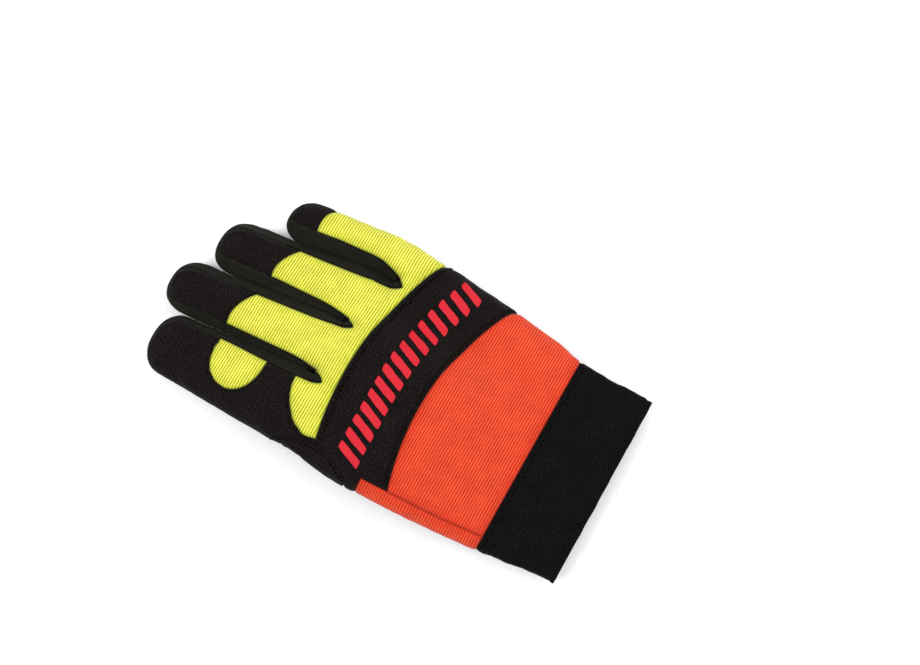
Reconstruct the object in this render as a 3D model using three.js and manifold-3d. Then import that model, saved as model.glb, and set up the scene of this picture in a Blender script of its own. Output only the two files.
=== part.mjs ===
// A work glove for the right hand, lying with its back up and its thumb folded under the palm.
// Millimetres. +Y runs from the cuff to the fingertips, -X is the thumb side, and z = 0 is the
// surface that it lies on. The skin is sewn from panels, so one hollow shell is made and then
// parted along its seams.
import * as THREE from 'three';
import { mergeVertices } from 'three/addons/utils/BufferGeometryUtils.js';
import Module from 'manifold-3d';

const wasm = await Module();
wasm.setup();

// Lengths along the hand
const cuffLength = 41;
const palmLength = 112;
const wristPanelLength = 14;
const sideStripLength = 65;
const backPanelLength = 57.3;
const backBandLength = 41.3;

// Bows of the two curved seams across the back, and the slant of the straight seam of the palm
const backPanelBow = 13;
const knucklePanelBow = 11;
const palmSeamHeight = 89;
const palmSeamSlant = 0.13;

// Thicknesses of the hollow form
const cuffThickness = 15.5;
const palmThickness = 23.5;
const fingerThickness = 16;

// Walls, layers and clearances
const cuffWall = 2.4;
const handWall = 1.6;
const seamGap = 0.3;
const layerGap = 0.3;
const padThickness = 1.8;
const loopThickness = 1.2;
const strapThickness = 2.4;
const bindingWidth = 3;
const press = 0.3;

// Fingers, from the thumb side: widths at the knuckles and at the tips, and lengths from the web
const fingers = [
  { name: 'index', width: 40, tipWidth: 33, length: 84, lean: -0.014 },
  { name: 'middle', width: 29.8, tipWidth: 28.7, length: 91.2, lean: -0.073 },
  { name: 'ring', width: 31.7, tipWidth: 29.4, length: 85, lean: -0.1 },
  { name: 'little', width: 21.5, tipWidth: 23.4, length: 69, lean: -0.114 },
];
const fingerGap = 0.6;
const tipRounding = 15;
const webSlope = 0.327;

// Thumb
const thumbLength = 92;
const thumbWidth = 32;
const thumbThickness = 12.4;
const thumbTurn = 20;
const thumbSwell = 3.2;
const thumbRise = 1.5;
const thumbSquash = 0.3;

// Side seams and patches
const sideStripWidth = 6.5;
const gussetLength = 42;
const gussetDepth = 8.5;
const webNotch = 6.5;
const patchLength = 28;
const patchWidth = 22;
const waveRise = 13;
const wavePast = 1;
const padLength = 54;
const padWidth = 20;
const strapLength = 58;
const strapWidth = 31;
const strapTurn = 20.7;
const strapBaseWidth = 5;
const strapInset = 5.5;
const loopPatchLength = 46;
const loopPatchWidth = 33;

const palmWidth = fingers.reduce((sum, finger) => sum + finger.width, 0);
const palmEnd = cuffLength + palmLength;
const strapLift = layerGap + loopThickness + layerGap + strapThickness - press;
const padLift = layerGap + padThickness - press;

// Outline of the cuff: shares of its length, of the palm's width and of the palm's thickness
const cuffSections = [
  { along: 0, left: -0.433, right: 0.402, thick: cuffThickness / palmThickness },
  { along: 0.5, left: -0.449, right: 0.402, thick: 0.68 },
  { along: 1, left: -0.473, right: 0.405, thick: 0.74 },
];

// Outline of the hand: shares of the palm's length, width and thickness
const handSections = [
  { along: 0, left: -0.473, right: 0.405, thick: 0.74 },
  { along: 0.12, left: -0.486, right: 0.425, thick: 0.82 },
  { along: 0.25, left: -0.499, right: 0.442, thick: 0.89 },
  { along: 0.42, left: -0.51, right: 0.46, thick: 0.97 },
  { along: 0.56, left: -0.516, right: 0.471, thick: 1 },
  { along: 0.7, left: -0.519, right: 0.482, thick: 1 },
  { along: 0.86, left: -0.503, right: 0.489, thick: 0.91 },
  { along: 1, left: -0.5, right: 0.491, thick: 0.81 },
];

// Thickness of the fingers: shares of the longest finger's length and of the finger's thickness
const fingerSections = [
  { along: 0, thick: (palmThickness * 0.81) / fingerThickness },
  { along: 0.26, thick: 1.05 },
  { along: 0.6, thick: 1 },
  { along: 1, thick: 0.9 },
];

// The edge of the lime panel over the root of the index finger: shares of the palm's width and length
const tongueSeam = [
  { across: -0.238, along: 1.062 },
  { across: -0.29, along: 1.049 },
  { across: -0.364, along: 0.998 },
  { across: -0.405, along: 0.951 },
  { across: -0.423, along: 0.903 },
  { across: -0.415, along: 0.846 },
];

// Where the seams of the back run on each finger, as shares of half its width from its middle,
// and how long its coloured strip is as a share of its length
const backSeams = {
  index: { right: [0.62, 0.7] },
  middle: { left: [-0.8, -0.76], right: [0.66, 0.68], strip: 0.59, skew: 0.2 },
  ring: { left: [-0.8, -0.64], right: [0.6, 0.64], strip: 0.58, skew: 0.3 },
  little: { left: [-0.56, -0.5], strip: 0.72, skew: 0.3 },
};

// Numbers of sides of the tubes, and of steps along curved seams
const handSides = 24;
const fingerSides = 12;
const curveSteps = 8;
const weldLimit = 0.25;
const handPower = 3;
const fingerPower = 2.4;
const flatterBelow = 1.5;

// How far a cut runs past what it cuts, and the share of the palm's length where its end begins
const cutPast = 4;
const palmEndShare = 0.82;

const clamp = (value) => Math.min(1, Math.max(0, value));

// Runs smoothly from 0 at one value to 1 at another
function ramp(from, to, value) {
  const t = clamp((value - from) / (to - from));
  return t * t * (3 - 2 * t);
}

// Reads a column of a table of sections at a share of its length
function readColumn(rows, column, along) {
  const last = rows.length - 1;
  const next = Math.max(1, rows.findIndex((row) => row.along >= along));
  const to = along >= rows[last].along ? last : next;
  const a = rows[to - 1];
  const b = rows[to];
  const t = clamp((along - a.along) / (b.along - a.along));
  return a[column] + (b[column] - a[column]) * t;
}

const longestFinger = Math.max(...fingers.map((finger) => finger.length));

// Left or right edge of the hand at a distance from the cuff's open end
function handEdge(side, y) {
  const share = y < cuffLength
    ? readColumn(cuffSections, side, y / cuffLength)
    : readColumn(handSections, side, (y - cuffLength) / palmLength);
  return share * palmWidth;
}

// How far the folded thumb lifts the palm above it
const thumbRoot = new THREE.Vector2(-0.325 * palmWidth, cuffLength + 0.37 * palmLength);
const thumbAxis = new THREE.Vector2(
  Math.sin(THREE.MathUtils.degToRad(thumbTurn)),
  Math.cos(THREE.MathUtils.degToRad(thumbTurn)),
);
const thumbTip = thumbRoot.clone().addScaledVector(thumbAxis, thumbLength);
function thumbLift(x, y) {
  const flatTo = thumbTip.x + 0.35 * thumbWidth;
  const across = 1 - ramp(flatTo, flatTo + 0.2 * palmWidth, x);
  const rise = ramp(cuffLength, thumbRoot.y + 0.1 * thumbLength, y);
  const fall = 1 - ramp(thumbTip.y - 0.04 * thumbLength, thumbTip.y + 0.66 * thumbLength, y);
  return (thumbThickness + layerGap) * across * rise * fall;
}

// Height of the underside above the surface: over the strap, the pads and the thumb
function lift(x, y) {
  const strapEnd = cuffLength + 0.8 * wristPanelLength;
  const padStart = cuffLength + 2 * wristPanelLength;
  const strapPart = strapLift * (1 - ramp(strapEnd, padStart, y));
  const padEnd = palmEnd + 0.4 * longestFinger;
  const padPart = padLift * ramp(strapEnd, padStart, y) * (1 - ramp(palmEnd, padEnd, y));
  return strapPart + padPart + thumbLift(x, y);
}

// Full thickness of the hollow form, which gives way a little over the thumb
function thickness(x, y) {
  let full = palmThickness;
  if (y < cuffLength) full *= readColumn(cuffSections, 'thick', y / cuffLength);
  else if (y < palmEnd) full *= readColumn(handSections, 'thick', (y - cuffLength) / palmLength);
  else full = fingerThickness * readColumn(fingerSections, 'thick', (y - palmEnd) / longestFinger);
  return full - thumbSquash * thumbLift(x, y);
}

// Line where the palm ends and the fingers part, lower towards the little finger
const middleWebX = -0.5 * palmWidth + fingers[0].width + fingers[1].width;
const webLine = (x) => palmEnd - webSlope * Math.max(0, x - middleWebX);

// How far across and up the outline of a rounded box runs at an angle, with its underside flatter
function roundedPoint(angle, power) {
  const across = Math.cos(angle);
  const up = Math.sin(angle);
  const bend = 2 / (up < 0 ? flatterBelow * power : power);
  return {
    across: Math.sign(across) * Math.abs(across) ** bend,
    up: Math.sign(up) * Math.abs(up) ** bend,
  };
}

// A solid from loose points and triangles
function solidFrom(points, triangles) {
  const vertProperties = new Float32Array(points.flatMap((p) => [p.x, p.y, p.z]));
  const triVerts = new Uint32Array(triangles.flat());
  return new wasm.Manifold(new wasm.Mesh({ numProp: 3, vertProperties, triVerts }));
}

// A solid from a closed three.js geometry
function solidFromGeometry(geometry) {
  geometry.deleteAttribute('normal');
  geometry.deleteAttribute('uv');
  const merged = mergeVertices(geometry, 1e-4);
  const vertProperties = new Float32Array(merged.attributes.position.array);
  const triVerts = new Uint32Array(merged.index.array);
  return new wasm.Manifold(new wasm.Mesh({ numProp: 3, vertProperties, triVerts }));
}

// A closed skin over rings of points that follow each other along +Y
function loft(rings) {
  const sides = rings[0].length;
  const points = rings.flat();
  const triangles = [];
  for (let r = 0; r + 1 < rings.length; r += 1) {
    for (let i = 0; i < sides; i += 1) {
      const j = (i + 1) % sides;
      const a = r * sides + i;
      const b = r * sides + j;
      triangles.push([a, a + sides, b + sides], [a, b + sides, b]);
    }
  }
  const centre = (ring) => ring.reduce((sum, p) => sum.add(p), new THREE.Vector3()).divideScalar(sides);
  const last = (rings.length - 1) * sides;
  points.push(centre(rings[0]), centre(rings[rings.length - 1]));
  for (let i = 0; i < sides; i += 1) {
    const j = (i + 1) % sides;
    triangles.push([points.length - 2, i, j], [points.length - 1, last + j, last + i]);
  }
  return solidFrom(points, triangles);
}

// One ring of a tube that lies along +Y. A row gives its place, its edges and how far it has
// closed, 1 being full height, and the ring is pushed outwards by a margin.
function tubeRing(row, sides, power, outset) {
  const ring = [];
  const middle = (row.left + row.right) / 2;
  const half = (row.right - row.left) / 2 + outset;
  for (let i = 0; i < sides; i += 1) {
    const at = roundedPoint((2 * Math.PI * i) / sides, power);
    const x = middle + half * row.narrow * at.across;
    const y = row.y(x);
    const deep = thickness(x, y) / 2;
    const z = lift(x, y) + deep + (deep + outset) * row.full * at.up;
    ring.push(new THREE.Vector3(x, y, Math.max(z, -Math.min(0, outset))));
  }
  return ring;
}

// How full a rounded end still is, a share of the way to its tip
const closing = (share, power) => (1 - share ** power) ** (1 / power);

// The hand as one tube between two distances from the cuff's open end
function handTube(from, to) {
  const stops = [
    ...cuffSections.map((row) => row.along * cuffLength),
    ...handSections.slice(1, -1).map((row) => cuffLength + row.along * palmLength),
  ].filter((y) => y > from + 1 && y < to - 1);
  return [from, ...stops, to].map((y) => ({
    y: () => y,
    left: handEdge('left', y),
    right: handEdge('right', y),
    narrow: 1,
    full: 1,
  }));
}

// The rounded end of the hand between the fingers
function handEnd(outset) {
  const endLength = 0.09 * palmLength;
  return [0, 0.55, 0.82, 0.97].map((share) => ({
    y: (x) => webLine(x) + outset - endLength * (1 - share),
    left: handEdge('left', palmEnd),
    right: handEdge('right', palmEnd),
    narrow: 0.985,
    full: closing(share, 2.4),
  }));
}

const wholeHand = (from, outset) => loft(
  [...handTube(from, cuffLength + palmEndShare * palmLength), ...handEnd(outset)]
    .map((row) => tubeRing(row, handSides, handPower, outset)),
);
const wristTube = (from, to, outset) => loft(
  handTube(from, to).map((row) => tubeRing(row, handSides, handPower, outset)),
);

// Places on a finger: its middle line, half its width, and a point on it by its share of half
// the width and its distance from the web
let knuckleStart = -0.5 * palmWidth;
for (const finger of fingers) {
  finger.left = knuckleStart;
  finger.right = knuckleStart + finger.width;
  finger.web = webLine((finger.left + finger.right) / 2);
  finger.tip = finger.web + finger.length;
  knuckleStart = finger.right;
}
function fingerMiddle(finger, y) {
  return (finger.left + finger.right) / 2 + finger.lean * Math.max(0, y - palmEnd);
}
function fingerHalf(finger, y) {
  const share = clamp((y - palmEnd) / (finger.tip - tipRounding - palmEnd));
  return (finger.width + (finger.tipWidth - finger.width) * share - fingerGap) / 2;
}
function onFinger(finger, share, y) {
  return new THREE.Vector2(fingerMiddle(finger, y) + share * fingerHalf(finger, y), y);
}

// A finger as a tube with a rounded tip, whose root reaches into the hand
function fingerTube(finger, outset) {
  const tip = finger.tip + outset;
  const rows = [
    { y: finger.web - 0.2 * finger.length, narrow: 0.82, full: 0.82 },
    { y: finger.web - 0.08 * finger.length, narrow: 0.95, full: 0.96 },
    { y: finger.web + 0.05 * finger.length, narrow: 1, full: 1 },
    { y: finger.web + 0.3 * finger.length, narrow: 1, full: 1 },
    { y: finger.web + 0.56 * finger.length, narrow: 1, full: 1 },
    ...[0, 0.45, 0.7, 0.87, 0.97].map((share) => ({
      y: tip - tipRounding * (1 - share),
      narrow: closing(share, 2.6),
      full: closing(share, 2.2),
    })),
  ];
  return loft(rows.map((row) => tubeRing({
    y: () => row.y,
    left: fingerMiddle(finger, row.y) - fingerHalf(finger, row.y),
    right: fingerMiddle(finger, row.y) + fingerHalf(finger, row.y),
    narrow: row.narrow,
    full: row.full,
  }, fingerSides, fingerPower, outset)));
}

// The thumb, a capsule that lies flat under the palm and whose heel swells up into it
function thumbTube(outset) {
  const sideways = new THREE.Vector2(thumbAxis.y, -thumbAxis.x);
  const rows = [-0.97, -0.8, -0.45, 0, 0.3, 0.58, 0.76, 0.88, 0.97].map((share) => {
    const atHeel = share < 0;
    const toTip = clamp((share - 0.58) / 0.42);
    const shut = atHeel ? closing(-share, 2.2) : closing(toTip, 2.4);
    const along = atHeel ? 0.2 * share : share;
    const swell = 1 - ramp(-0.1, 0.5, along);
    return { along, shut, swell };
  });
  return loft(rows.map(({ along, shut, swell }) => {
    const middle = thumbRoot.clone().addScaledVector(thumbAxis, along * thumbLength);
    const half = (thumbWidth * (0.5 + 0.08 * swell) + outset) * shut;
    const deep = thumbThickness / 2 + thumbSwell * swell;
    const ring = [];
    for (let i = 0; i < fingerSides; i += 1) {
      const at = roundedPoint((2 * Math.PI * i) / fingerSides, fingerPower);
      const p = middle.clone().addScaledVector(sideways, half * at.across);
      const z = deep + thumbRise * swell + (deep + outset) * shut * at.up;
      ring.push(new THREE.Vector3(p.x, p.y, Math.max(z, -Math.min(0, outset))));
    }
    return ring;
  }));
}

const below = -20;
const above = 80;
const beyond = palmWidth;

// An upright prism over an outline in plan
function prism(outline) {
  const geometry = new THREE.ExtrudeGeometry(new THREE.Shape(outline), {
    depth: above - below,
    bevelEnabled: false,
  });
  geometry.translate(0, 0, below);
  return solidFromGeometry(geometry);
}

// An upright blade as thin as a seam's gap, which parts the panels along a line in plan
function blade(line) {
  const edges = [[], []];
  line.forEach((p, i) => {
    const before = line[Math.max(0, i - 1)];
    const after = line[Math.min(line.length - 1, i + 1)];
    const run = after.clone().sub(before).normalize();
    const aside = new THREE.Vector2(-run.y, run.x).multiplyScalar(seamGap / 2);
    edges[0].push(p.clone().add(aside));
    edges[1].unshift(p.clone().sub(aside));
  });
  return prism([...edges[0], ...edges[1]]);
}

const curve = (points, steps = curveSteps) => new THREE.SplineCurve(points).getPoints(steps);
const cutAll = (solid, blades) => blades.reduce((rest, knife) => rest.subtract(knife), solid);

// A block above or below the side seam, whose height follows the skin
const sideSeamShare = 0.28;
function sideBlock(upper, firstY) {
  const columns = 8;
  const rows = 16;
  const edgeZ = upper ? above : below;
  const shift = upper ? seamGap / 2 : -seamGap / 2;
  const lastY = palmEnd + longestFinger + 2 * cutPast;
  const points = [];
  for (const flat of [false, true]) {
    for (let r = 0; r <= rows; r += 1) {
      for (let c = 0; c <= columns; c += 1) {
        const x = beyond * (c / columns - 0.5) * 1.2;
        const y = firstY + ((lastY - firstY) * r) / rows;
        const z = flat ? edgeZ : lift(x, y) + sideSeamShare * thickness(x, y) + shift;
        points.push(new THREE.Vector3(x, y, z));
      }
    }
  }
  const wide = columns + 1;
  const sheet = wide * (rows + 1);
  const triangles = [];
  const quad = (a, b, c, d) => triangles.push([a, b, c], [a, c, d]);
  for (let r = 0; r < rows; r += 1) {
    for (let c = 0; c < columns; c += 1) {
      const a = r * wide + c;
      quad(a, a + wide, a + wide + 1, a + 1);
      quad(sheet + a, sheet + a + 1, sheet + a + wide + 1, sheet + a + wide);
    }
  }
  for (let c = 0; c < columns; c += 1) {
    const end = rows * wide + c;
    quad(c, c + 1, sheet + c + 1, sheet + c);
    quad(end + 1, end, sheet + end, sheet + end + 1);
  }
  for (let r = 0; r < rows; r += 1) {
    const left = r * wide;
    const right = left + columns;
    quad(left + wide, left, sheet + left, sheet + left + wide);
    quad(right, right + wide, sheet + right + wide, sheet + right);
  }
  const turned = upper ? triangles : triangles.map(([a, b, c]) => [a, c, b]);
  return solidFrom(points, turned);
}

// The hollow shell of the hand and the fingers, open where the cuff joins it
const handStart = cuffLength + seamGap;
const handOuter = wholeHand(handStart, 0);
const outerSkin = fingers.reduce((sum, finger) => sum.add(fingerTube(finger, 0)), handOuter);
const innerSkin = fingers.reduce(
  (sum, finger) => sum.add(fingerTube(finger, -handWall)),
  wholeHand(handStart - cutPast, -handWall),
);
const shell = outerSkin.subtract(innerSkin);

// The strip that wraps the thumb edge
function stripOutline(margin) {
  const length = sideStripLength + 2 * margin;
  const steps = [0, 0.35, 0.7, 1].map((share) => cuffLength - margin + share * length);
  const inner = steps.map((y) => new THREE.Vector2(handEdge('left', y) + sideStripWidth + margin, y));
  return [
    new THREE.Vector2(-beyond, steps[0]),
    ...inner,
    new THREE.Vector2(-beyond, steps[steps.length - 1]),
  ];
}
const sideStrip = shell.intersect(prism(stripOutline(-seamGap / 2)));
const rest = shell.subtract(prism(stripOutline(seamGap / 2)));
const beforeHand = cuffLength - cutPast - 1;
const backSkin = rest.intersect(sideBlock(true, beforeHand));
const palmSkin = rest.intersect(sideBlock(false, beforeHand));

// A seam along a finger, from the notch at its web past its tip
function seamAlong(finger, web, shares) {
  const first = finger.web + 0.13 * finger.length;
  const past = finger.tip + tipRounding / 4;
  const beside = handWall + 3 * seamGap + fingerGap / 2;
  return [
    ...curve([
      new THREE.Vector2(web, webLine(web) - webNotch),
      new THREE.Vector2(web - Math.sign(shares[0]) * beside, webLine(web) - handWall),
      onFinger(finger, shares[0], first),
    ], 6),
    onFinger(finger, shares[1], finger.web + 0.55 * finger.length),
    onFinger(finger, shares[1], past),
  ];
}

// Where a line in plan that climbs along +Y reaches a distance from the cuff's open end
function crossing(line, y) {
  const next = line.findIndex((p) => p.y >= y);
  const [a, b] = [line[next - 1], line[next]];
  return a.x + ((b.x - a.x) * (y - a.y)) / (b.y - a.y);
}

// Seams of the back
const backArcMiddle = -0.1 * palmWidth;
function arcAcross(crown, bow, from) {
  const points = [];
  for (let i = 0; i <= curveSteps; i += 1) {
    const x = from + ((0.56 * palmWidth - from) * i) / curveSteps;
    points.push(new THREE.Vector2(x, crown - bow * ((x - backArcMiddle) / (0.5 * palmWidth)) ** 2));
  }
  return points;
}
const onPalm = ({ across, along }) => new THREE.Vector2(across * palmWidth, cuffLength + along * palmLength);
const backArc = arcAcross(
  cuffLength + backPanelLength,
  backPanelBow,
  handEdge('left', cuffLength + backPanelLength) + sideStripWidth,
);
const tonguePoints = tongueSeam.map(onPalm);
const indexSeam = seamAlong(fingers[0], fingers[0].right, backSeams.index.right);
tonguePoints[0].x = crossing(indexSeam, tonguePoints[0].y);
const tongue = curve(tonguePoints);
const knuckleArc = arcAcross(
  cuffLength + backPanelLength + backBandLength,
  knucklePanelBow,
  tongue[tongue.length - 1].x,
);
knuckleArc[0] = tongue[tongue.length - 1];

// The curved seam of the gusset, an arc over a chord on the thumb edge
const gussetMiddle = cuffLength + 0.832 * palmLength;
const gussetEdge = handEdge('left', gussetMiddle);
const gussetRadius = (gussetLength ** 2 / 4 + gussetDepth ** 2) / (2 * gussetDepth);
const gussetCentre = new THREE.Vector2(gussetEdge + gussetDepth - gussetRadius, gussetMiddle);
const gussetSpan = 1.25 * Math.asin(gussetLength / 2 / gussetRadius);
const gussetArc = new THREE.EllipseCurve(
  gussetCentre.x, gussetCentre.y, gussetRadius, gussetRadius, -gussetSpan, gussetSpan,
).getPoints(8);
const tongueLeft = tongue.reduce((best, p) => (p.x < best.x ? p : best));
const neckEnd = new THREE.Vector2(
  gussetCentre.x + Math.sqrt(gussetRadius ** 2 - (tongueLeft.y - gussetCentre.y) ** 2) - 2 * seamGap,
  tongueLeft.y,
);

// The far end of a coloured strip, a slanted bow across the finger
function stripEnd(finger, seams) {
  const at = finger.web + seams.strip * finger.length;
  const left = seams.left[1];
  const right = seams.right ? seams.right[1] : 1.2;
  return [0, 0.25, 0.5, 0.75, 1].map((share) => {
    const bow = 3 * (1 - (2 * share - 1) ** 2);
    const slant = -seams.skew * (share - 0.5) * finger.width;
    return onFinger(finger, left + (right - left) * share, at + bow + slant);
  });
}

const backLines = [backArc, tongue, knuckleArc, gussetArc, [tongueLeft, neckEnd]];
const backBlades = backLines.map((line) => blade(line));
for (const finger of fingers) {
  const seams = backSeams[finger.name];
  if (seams.left) backBlades.push(blade(seamAlong(finger, finger.left, seams.left)));
  if (seams.right) backBlades.push(blade(seamAlong(finger, finger.right, seams.right)));
  if (seams.strip) backBlades.push(blade(stripEnd(finger, seams)));
}

// The lime patch in the tip of the index finger, half a rounded outline against its seam
const index = fingers[0];
const patchMiddle = index.web + 0.48 * index.length;
const patchOutline = [];
for (let i = 0; i <= curveSteps; i += 1) {
  const angle = (Math.PI * i) / curveSteps;
  const y = patchMiddle + (patchLength / 2) * Math.cos(angle);
  const seam = onFinger(index, backSeams.index.right[1], y);
  patchOutline.push(new THREE.Vector2(seam.x - patchWidth * Math.sin(angle) ** 0.75, y));
}
backBlades.push(blade(patchOutline));

// Seams of the palm
const across = [-0.6, 0.6].map((share) => share * palmWidth);
const wristSeam = across.map((x) => new THREE.Vector2(x, cuffLength + wristPanelLength));
const palmSeam = across.map((x) => new THREE.Vector2(x, cuffLength + palmSeamHeight - palmSeamSlant * x));
const waveSeam = [];
for (const finger of fingers) {
  const from = finger === fingers[0] ? finger.left - 0.1 * palmWidth : finger.left;
  const to = finger === fingers[3] ? finger.right + 0.1 * palmWidth : finger.right;
  for (let i = 0; i < 6; i += 1) {
    const share = i / 6;
    const x = from + (to - from) * share;
    const rise = waveRise * Math.sin(Math.PI * share) ** 2;
    waveSeam.push(new THREE.Vector2(x, webLine(x) + wavePast + rise));
  }
}
waveSeam.push(new THREE.Vector2(across[1], webLine(across[1]) + wavePast));
const palmBlades = [blade(wristSeam), blade(palmSeam), blade(waveSeam)];

// Panels of a skin after its seams are cut: each is one connected piece, found by the first one
// that an upright line through a place in plan meets from above or from below
function connectedPieces(solid) {
  const mesh = solid.getMesh();
  const parent = Array.from({ length: mesh.vertProperties.length / 3 }, (_, i) => i);
  const find = (i) => {
    let top = i;
    while (parent[top] !== top) top = parent[top];
    parent[i] = top;
    return top;
  };
  for (let t = 0; t < mesh.triVerts.length; t += 3) {
    for (const k of [1, 2]) parent[find(mesh.triVerts[t + k])] = find(mesh.triVerts[t]);
  }
  const groups = new Map();
  for (let t = 0; t < mesh.triVerts.length; t += 3) {
    const top = find(mesh.triVerts[t]);
    if (!groups.has(top)) groups.set(top, []);
    groups.get(top).push([...mesh.triVerts.subarray(t, t + 3)]);
  }
  const point = (i) => new THREE.Vector3().fromArray(mesh.vertProperties, 3 * i);
  return [...groups.values()].map((triangles) => {
    const places = new Map();
    const points = [];
    const renumbered = triangles.map((triangle) => triangle.map((i) => {
      if (!places.has(i)) {
        places.set(i, points.length);
        points.push(point(i));
      }
      return places.get(i);
    }));
    return { points, triangles: renumbered };
  });
}

function heightsAt(piece, place) {
  const heights = [];
  for (const [i, j, k] of piece.triangles) {
    const [a, b, c] = [piece.points[i], piece.points[j], piece.points[k]];
    const area = (b.x - a.x) * (c.y - a.y) - (c.x - a.x) * (b.y - a.y);
    if (Math.abs(area) < 1e-9) continue;
    const u = ((place.x - a.x) * (c.y - a.y) - (c.x - a.x) * (place.y - a.y)) / area;
    const v = ((b.x - a.x) * (place.y - a.y) - (place.x - a.x) * (b.y - a.y)) / area;
    if (u >= 0 && v >= 0 && u + v <= 1) heights.push(a.z + u * (b.z - a.z) + v * (c.z - a.z));
  }
  return heights;
}

const largest = (pieces) => pieces.reduce((a, b) => (b.triangles.length > a.triangles.length ? b : a));

// Closes up edges shorter than a limit, which cuts leave where seams cross. An edge is closed only
// where its ends share two neighbours, so that the skin stays one closed surface.
function welded({ points, triangles }, limit) {
  const live = new Set(triangles.map((triangle) => [...triangle]));
  const around = points.map(() => new Set());
  for (const triangle of live) triangle.forEach((i) => around[i].add(triangle));
  const neighbours = (i) => new Set([...around[i]].flat().filter((j) => j !== i));
  const closeUp = (i, j) => {
    for (const triangle of [...around[j]]) {
      if (triangle.includes(i)) {
        live.delete(triangle);
        triangle.forEach((k) => around[k].delete(triangle));
      } else {
        triangle[triangle.indexOf(j)] = i;
        around[i].add(triangle);
      }
    }
    around[j].clear();
  };
  for (let i = 0; i < points.length; i += 1) {
    for (const j of neighbours(i)) {
      if (points[i].distanceTo(points[j]) > limit || !neighbours(i).has(j)) continue;
      const beside = neighbours(j);
      const shared = [...neighbours(i)].filter((k) => beside.has(k));
      if (shared.length === 2) closeUp(i, j);
    }
  }
  return { points, triangles: [...live] };
}

function panelAt(pieces, place, fromAbove) {
  const side = fromAbove ? 1 : -1;
  let best = null;
  let bestHeight = -Infinity;
  for (const piece of pieces) {
    for (const height of heightsAt(piece, place)) {
      if (side * height > bestHeight) {
        best = piece;
        bestHeight = side * height;
      }
    }
  }
  return solidFrom(best.points, best.triangles);
}

const parts = [];
function addPart(name, solid, material) {
  parts.push({ name, solid, material });
}

const fabric = (color, roughness) => new THREE.MeshStandardMaterial({ color, roughness, metalness: 0 });
const limeKnit = fabric(0xdfe93a, 0.75);
const orangeKnit = fabric(0xf26a3d, 0.8);
const suede = fabric(0x37302f, 0.95);
const sideFabric = fabric(0x1d1c1a, 0.85);
const neoprene = fabric(0x1a1a1b, 0.8);
const coatedTab = fabric(0x4e4d51, 0.55);
const bindingTape = fabric(0x5b5a60, 0.45);
const loopPile = fabric(0x202122, 1);

// The cuff is a ring of its own with a thicker wall
const cuffOuter = wristTube(0, cuffLength, 0);
const cuffInner = wristTube(-cutPast, cuffLength + cutPast, -cuffWall);
addPart('cuff', cuffOuter.subtract(cuffInner), neoprene);
addPart('side_strip', sideStrip, orangeKnit);

const backPieces = connectedPieces(cutAll(backSkin, backBlades));
const onBack = (x, y) => panelAt(backPieces, { x, y }, true);
const [indexFinger, middleFinger, ringFinger, littleFinger] = fingers;
addPart('back_panel', onBack(0, cuffLength + backPanelLength / 2), orangeKnit);
addPart('back_band', onBack(0, cuffLength + backPanelLength + backBandLength / 2), suede);
addPart('knuckle_panel', onBack(backArcMiddle, cuffLength + backPanelLength + backBandLength + 3), limeKnit);
addPart('thumb_gusset', onBack(gussetEdge + gussetDepth / 2, gussetMiddle), suede);
const indexBackPlace = onFinger(indexFinger, 0, indexFinger.web + 0.28 * indexFinger.length);
addPart('index_back', onBack(indexBackPlace.x, indexBackPlace.y), suede);
const patchPlace = onFinger(indexFinger, 0.2, patchMiddle);
addPart('index_patch', onBack(patchPlace.x, patchPlace.y), limeKnit);
for (const finger of [middleFinger, ringFinger, littleFinger]) {
  const place = onFinger(finger, 0.1, finger.tip - tipRounding);
  addPart(`${finger.name}_tip`, onBack(place.x, place.y), suede);
}
for (let i = 0; i < 3; i += 1) {
  const place = onFinger(fingers[i], 0.9, fingers[i].web + 0.3 * fingers[i].length);
  addPart(`fourchette_${fingers[i].name}_${fingers[i + 1].name}`, onBack(place.x, place.y), sideFabric);
}

// The thumb, open into the palm
const thumbOuter = thumbTube(0);
const thumbInner = thumbTube(-handWall);
addPart('thumb', thumbOuter.subtract(thumbInner).subtract(wholeHand(cuffLength - cutPast, layerGap)), suede);

const palmPieces = connectedPieces(cutAll(palmSkin, palmBlades));
const onUnderside = (x, y) => panelAt(palmPieces, { x, y }, false);
addPart('wrist_panel', onUnderside(0, cuffLength + wristPanelLength / 2), neoprene);
addPart('palm_panel', onUnderside(0.2 * palmWidth, cuffLength + palmLength / 2).subtract(thumbInner), suede);
addPart('palm_patch', onUnderside(0, cuffLength + palmSeamHeight + 6), suede);
for (const finger of fingers) {
  const place = onFinger(finger, 0, finger.web + 0.5 * finger.length);
  addPart(`${finger.name}_palm`, onUnderside(place.x, place.y), suede);
}

// A layer sewn onto the underside, between two heights over the skin and inside an outline in plan
const undersideBlock = sideBlock(false, -cutPast - 1);
function layer(outline, from, to) {
  const end = cuffLength + palmEndShare * palmLength;
  const skin = wristTube(-cutPast / 2, end, to).subtract(wristTube(-cutPast, end + cutPast, from));
  return skin.intersect(outline).intersect(undersideBlock);
}

// Turns an outline drawn along an axis so that the axis starts at a place and points a way in plan
function laidOut(outline, start, heading) {
  const along = new THREE.Vector2(Math.cos(heading), Math.sin(heading));
  const aside = new THREE.Vector2(-along.y, along.x);
  return outline.map((p) => start.clone().addScaledVector(along, p.x).addScaledVector(aside, p.y));
}

// A teardrop along +X with its point at the origin
function teardrop(length, width) {
  const upper = [0.1, 0.25, 0.42, 0.6, 0.76, 0.9, 0.98].map((share) => new THREE.Vector2(
    share * length,
    0.55 * width * share ** 0.55 * closing(share, 5),
  ));
  const lower = upper.map((p) => new THREE.Vector2(p.x, -p.y));
  return [new THREE.Vector2(0, 0), ...lower, ...upper.reverse()];
}

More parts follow.
